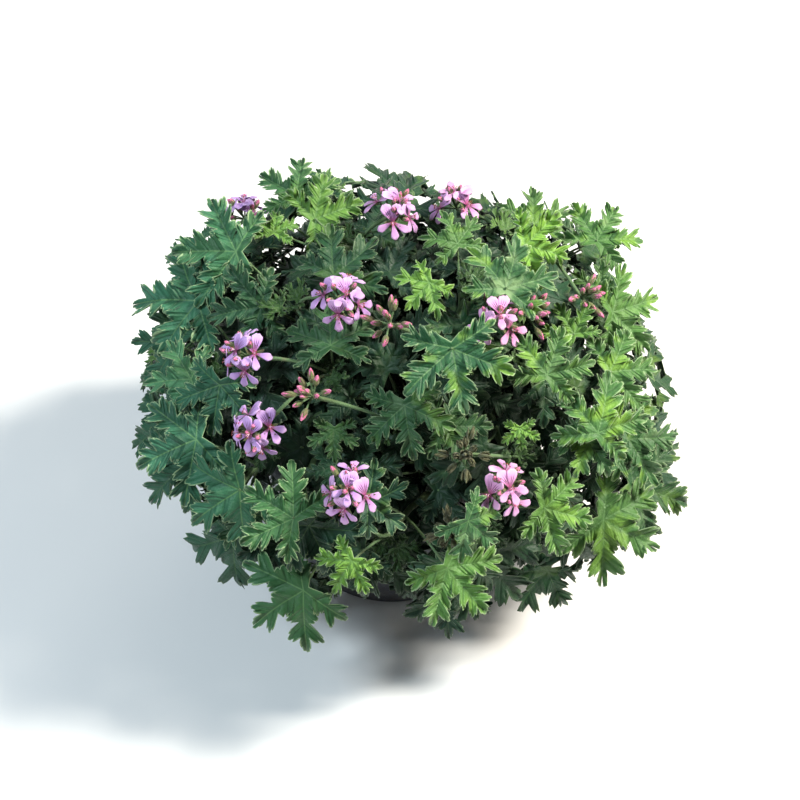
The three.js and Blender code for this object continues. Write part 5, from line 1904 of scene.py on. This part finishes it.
slate = pot_material()
earth = earth_material("soil", (0.012, 0.008, 0.005), (0.055, 0.036, 0.022), 120.0)
bark_brown = earth_material("bark", (0.045, 0.024, 0.013), (0.150, 0.085, 0.045), 90.0)
perlite_white = earth_material("perlite", (0.450, 0.430, 0.400), (0.760, 0.750, 0.720), 300.0)
print("pot material:", len(slate.node_tree.nodes), "nodes, soil:", len(earth.node_tree.nodes))

# %% [markdown]
# ## Dress the solids
# Each finished piece gets its material and rides with the pot. The plain solids that it stands for
# stay where they are and aren't shown.

# %% Finish every piece
for stem in ROOTS:
    solid = "leafy_stem_" + stem
    finish_piece(leaf_pieces[stem], [solid], leaf_green)
    finish_piece(stem_pieces[stem], [solid], stem_green)
    finish_piece(hair_pieces[stem], [solid], pale_hair)
for umbel in umbels:
    finish_piece(calyx_pieces[umbel.name], ["leafy_stem_" + umbel.stem], calyx_olive)
    if umbel.kind == "open":
        solid = "umbel_petals_" + umbel.name
        finish_piece(petal_pieces[umbel.name], [solid], petal_mauve)
        finish_piece(stamen_pieces[umbel.name], [solid], stamen_rust)
finish_piece(pot, ["pot"], slate)
for piece, material in ((soil, earth), (crumbs, earth), (bark, bark_brown), (perlite, perlite_white)):
    finish_piece(piece, ["soil"], material)

# %% Count the triangles


def triangles_of(piece):
    return sum(len(face.vertices) - 2 for face in piece.data.polygons)


shown = [o for o in bpy.context.scene.objects if o.type == "MESH" and not o.hide_render]
counts = {o.name: triangles_of(o) for o in shown}
print("triangles in all:", sum(counts.values()), "and in the largest piece:", max(counts.values()))

# %% [markdown]
# ## Floor, light and camera
# The floor is plain and pale. The warm key light stands high to the right, as the sun does in the
# photograph. A cool dim panel fills in from the left and a dimmer one from behind, and the sky gives
# the rest. The camera looks down on the bush from the front at forty-five degrees.

# %% Floor and lights
deselect_all()
bpy.ops.mesh.primitive_plane_add(size=9)
floor = bpy.context.object
floor.name = "floor"
floor_material, tree, shader = new_material("pale floor", Specular_IOR_Level=0.2, Roughness=0.8)
floor_grain = mottling(tree, 6.0, 0.8)["Broad"]
wire(tree, shader, Base_Color=mix(tree, floor_grain, (0.80, 0.80, 0.79), (0.84, 0.84, 0.83)))
floor.data.materials.append(floor_material)


def panel(name, place, aim, size, power, colour):
    """A square light that looks from its place to its aim."""
    deselect_all()
    look = Vector(aim) - Vector(place)
    turn = look.to_track_quat("-Z", "Y").to_euler()
    bpy.ops.object.light_add(type="AREA", location=place, rotation=turn)
    light = bpy.context.object
    light.name = name
    light.data.size, light.data.energy, light.data.color = size, power, colour


panel("key", (1.4, -0.05, 1.6), (0, 0, 0.18), 0.35, 90, (1.0, 0.94, 0.84))
panel("fill", (-1.1, -0.7, 1.9), (0, 0, 0.15), 0.5, 37, (0.76, 0.90, 1.0))
panel("back", (0.3, 1.6, 1.5), (0, 0, 0.2), 1.0, 9, (1.0, 0.98, 0.95))
world = bpy.data.worlds.new("sky")
bpy.context.scene.world = world
world.use_nodes = True
sky = world.node_tree.nodes["Background"]
sky.inputs["Color"].default_value = (0.93, 0.96, 1.0, 1.0)
sky.inputs["Strength"].default_value = 0.14
print("lights:", [light.name for light in bpy.data.lights])

# %% Camera
AIM = Vector((0.0072, 0.0022, 0.1522))
DISTANCE = EYE_DISTANCE * MM
TILT = math.radians(PICTURE_RISE)
FIELD_OF_VIEW = 34
deselect_all()
place = AIM + Vector((0, -math.cos(TILT), math.sin(TILT))) * DISTANCE
bpy.ops.object.camera_add(location=place, rotation=(math.pi / 2 - TILT, 0, 0))
camera = bpy.context.object
camera.data.angle = math.radians(FIELD_OF_VIEW)
bpy.context.scene.camera = camera
bpy.context.scene.view_settings.view_transform = "Standard"
print("camera at", [round(x, 3) for x in camera.location])
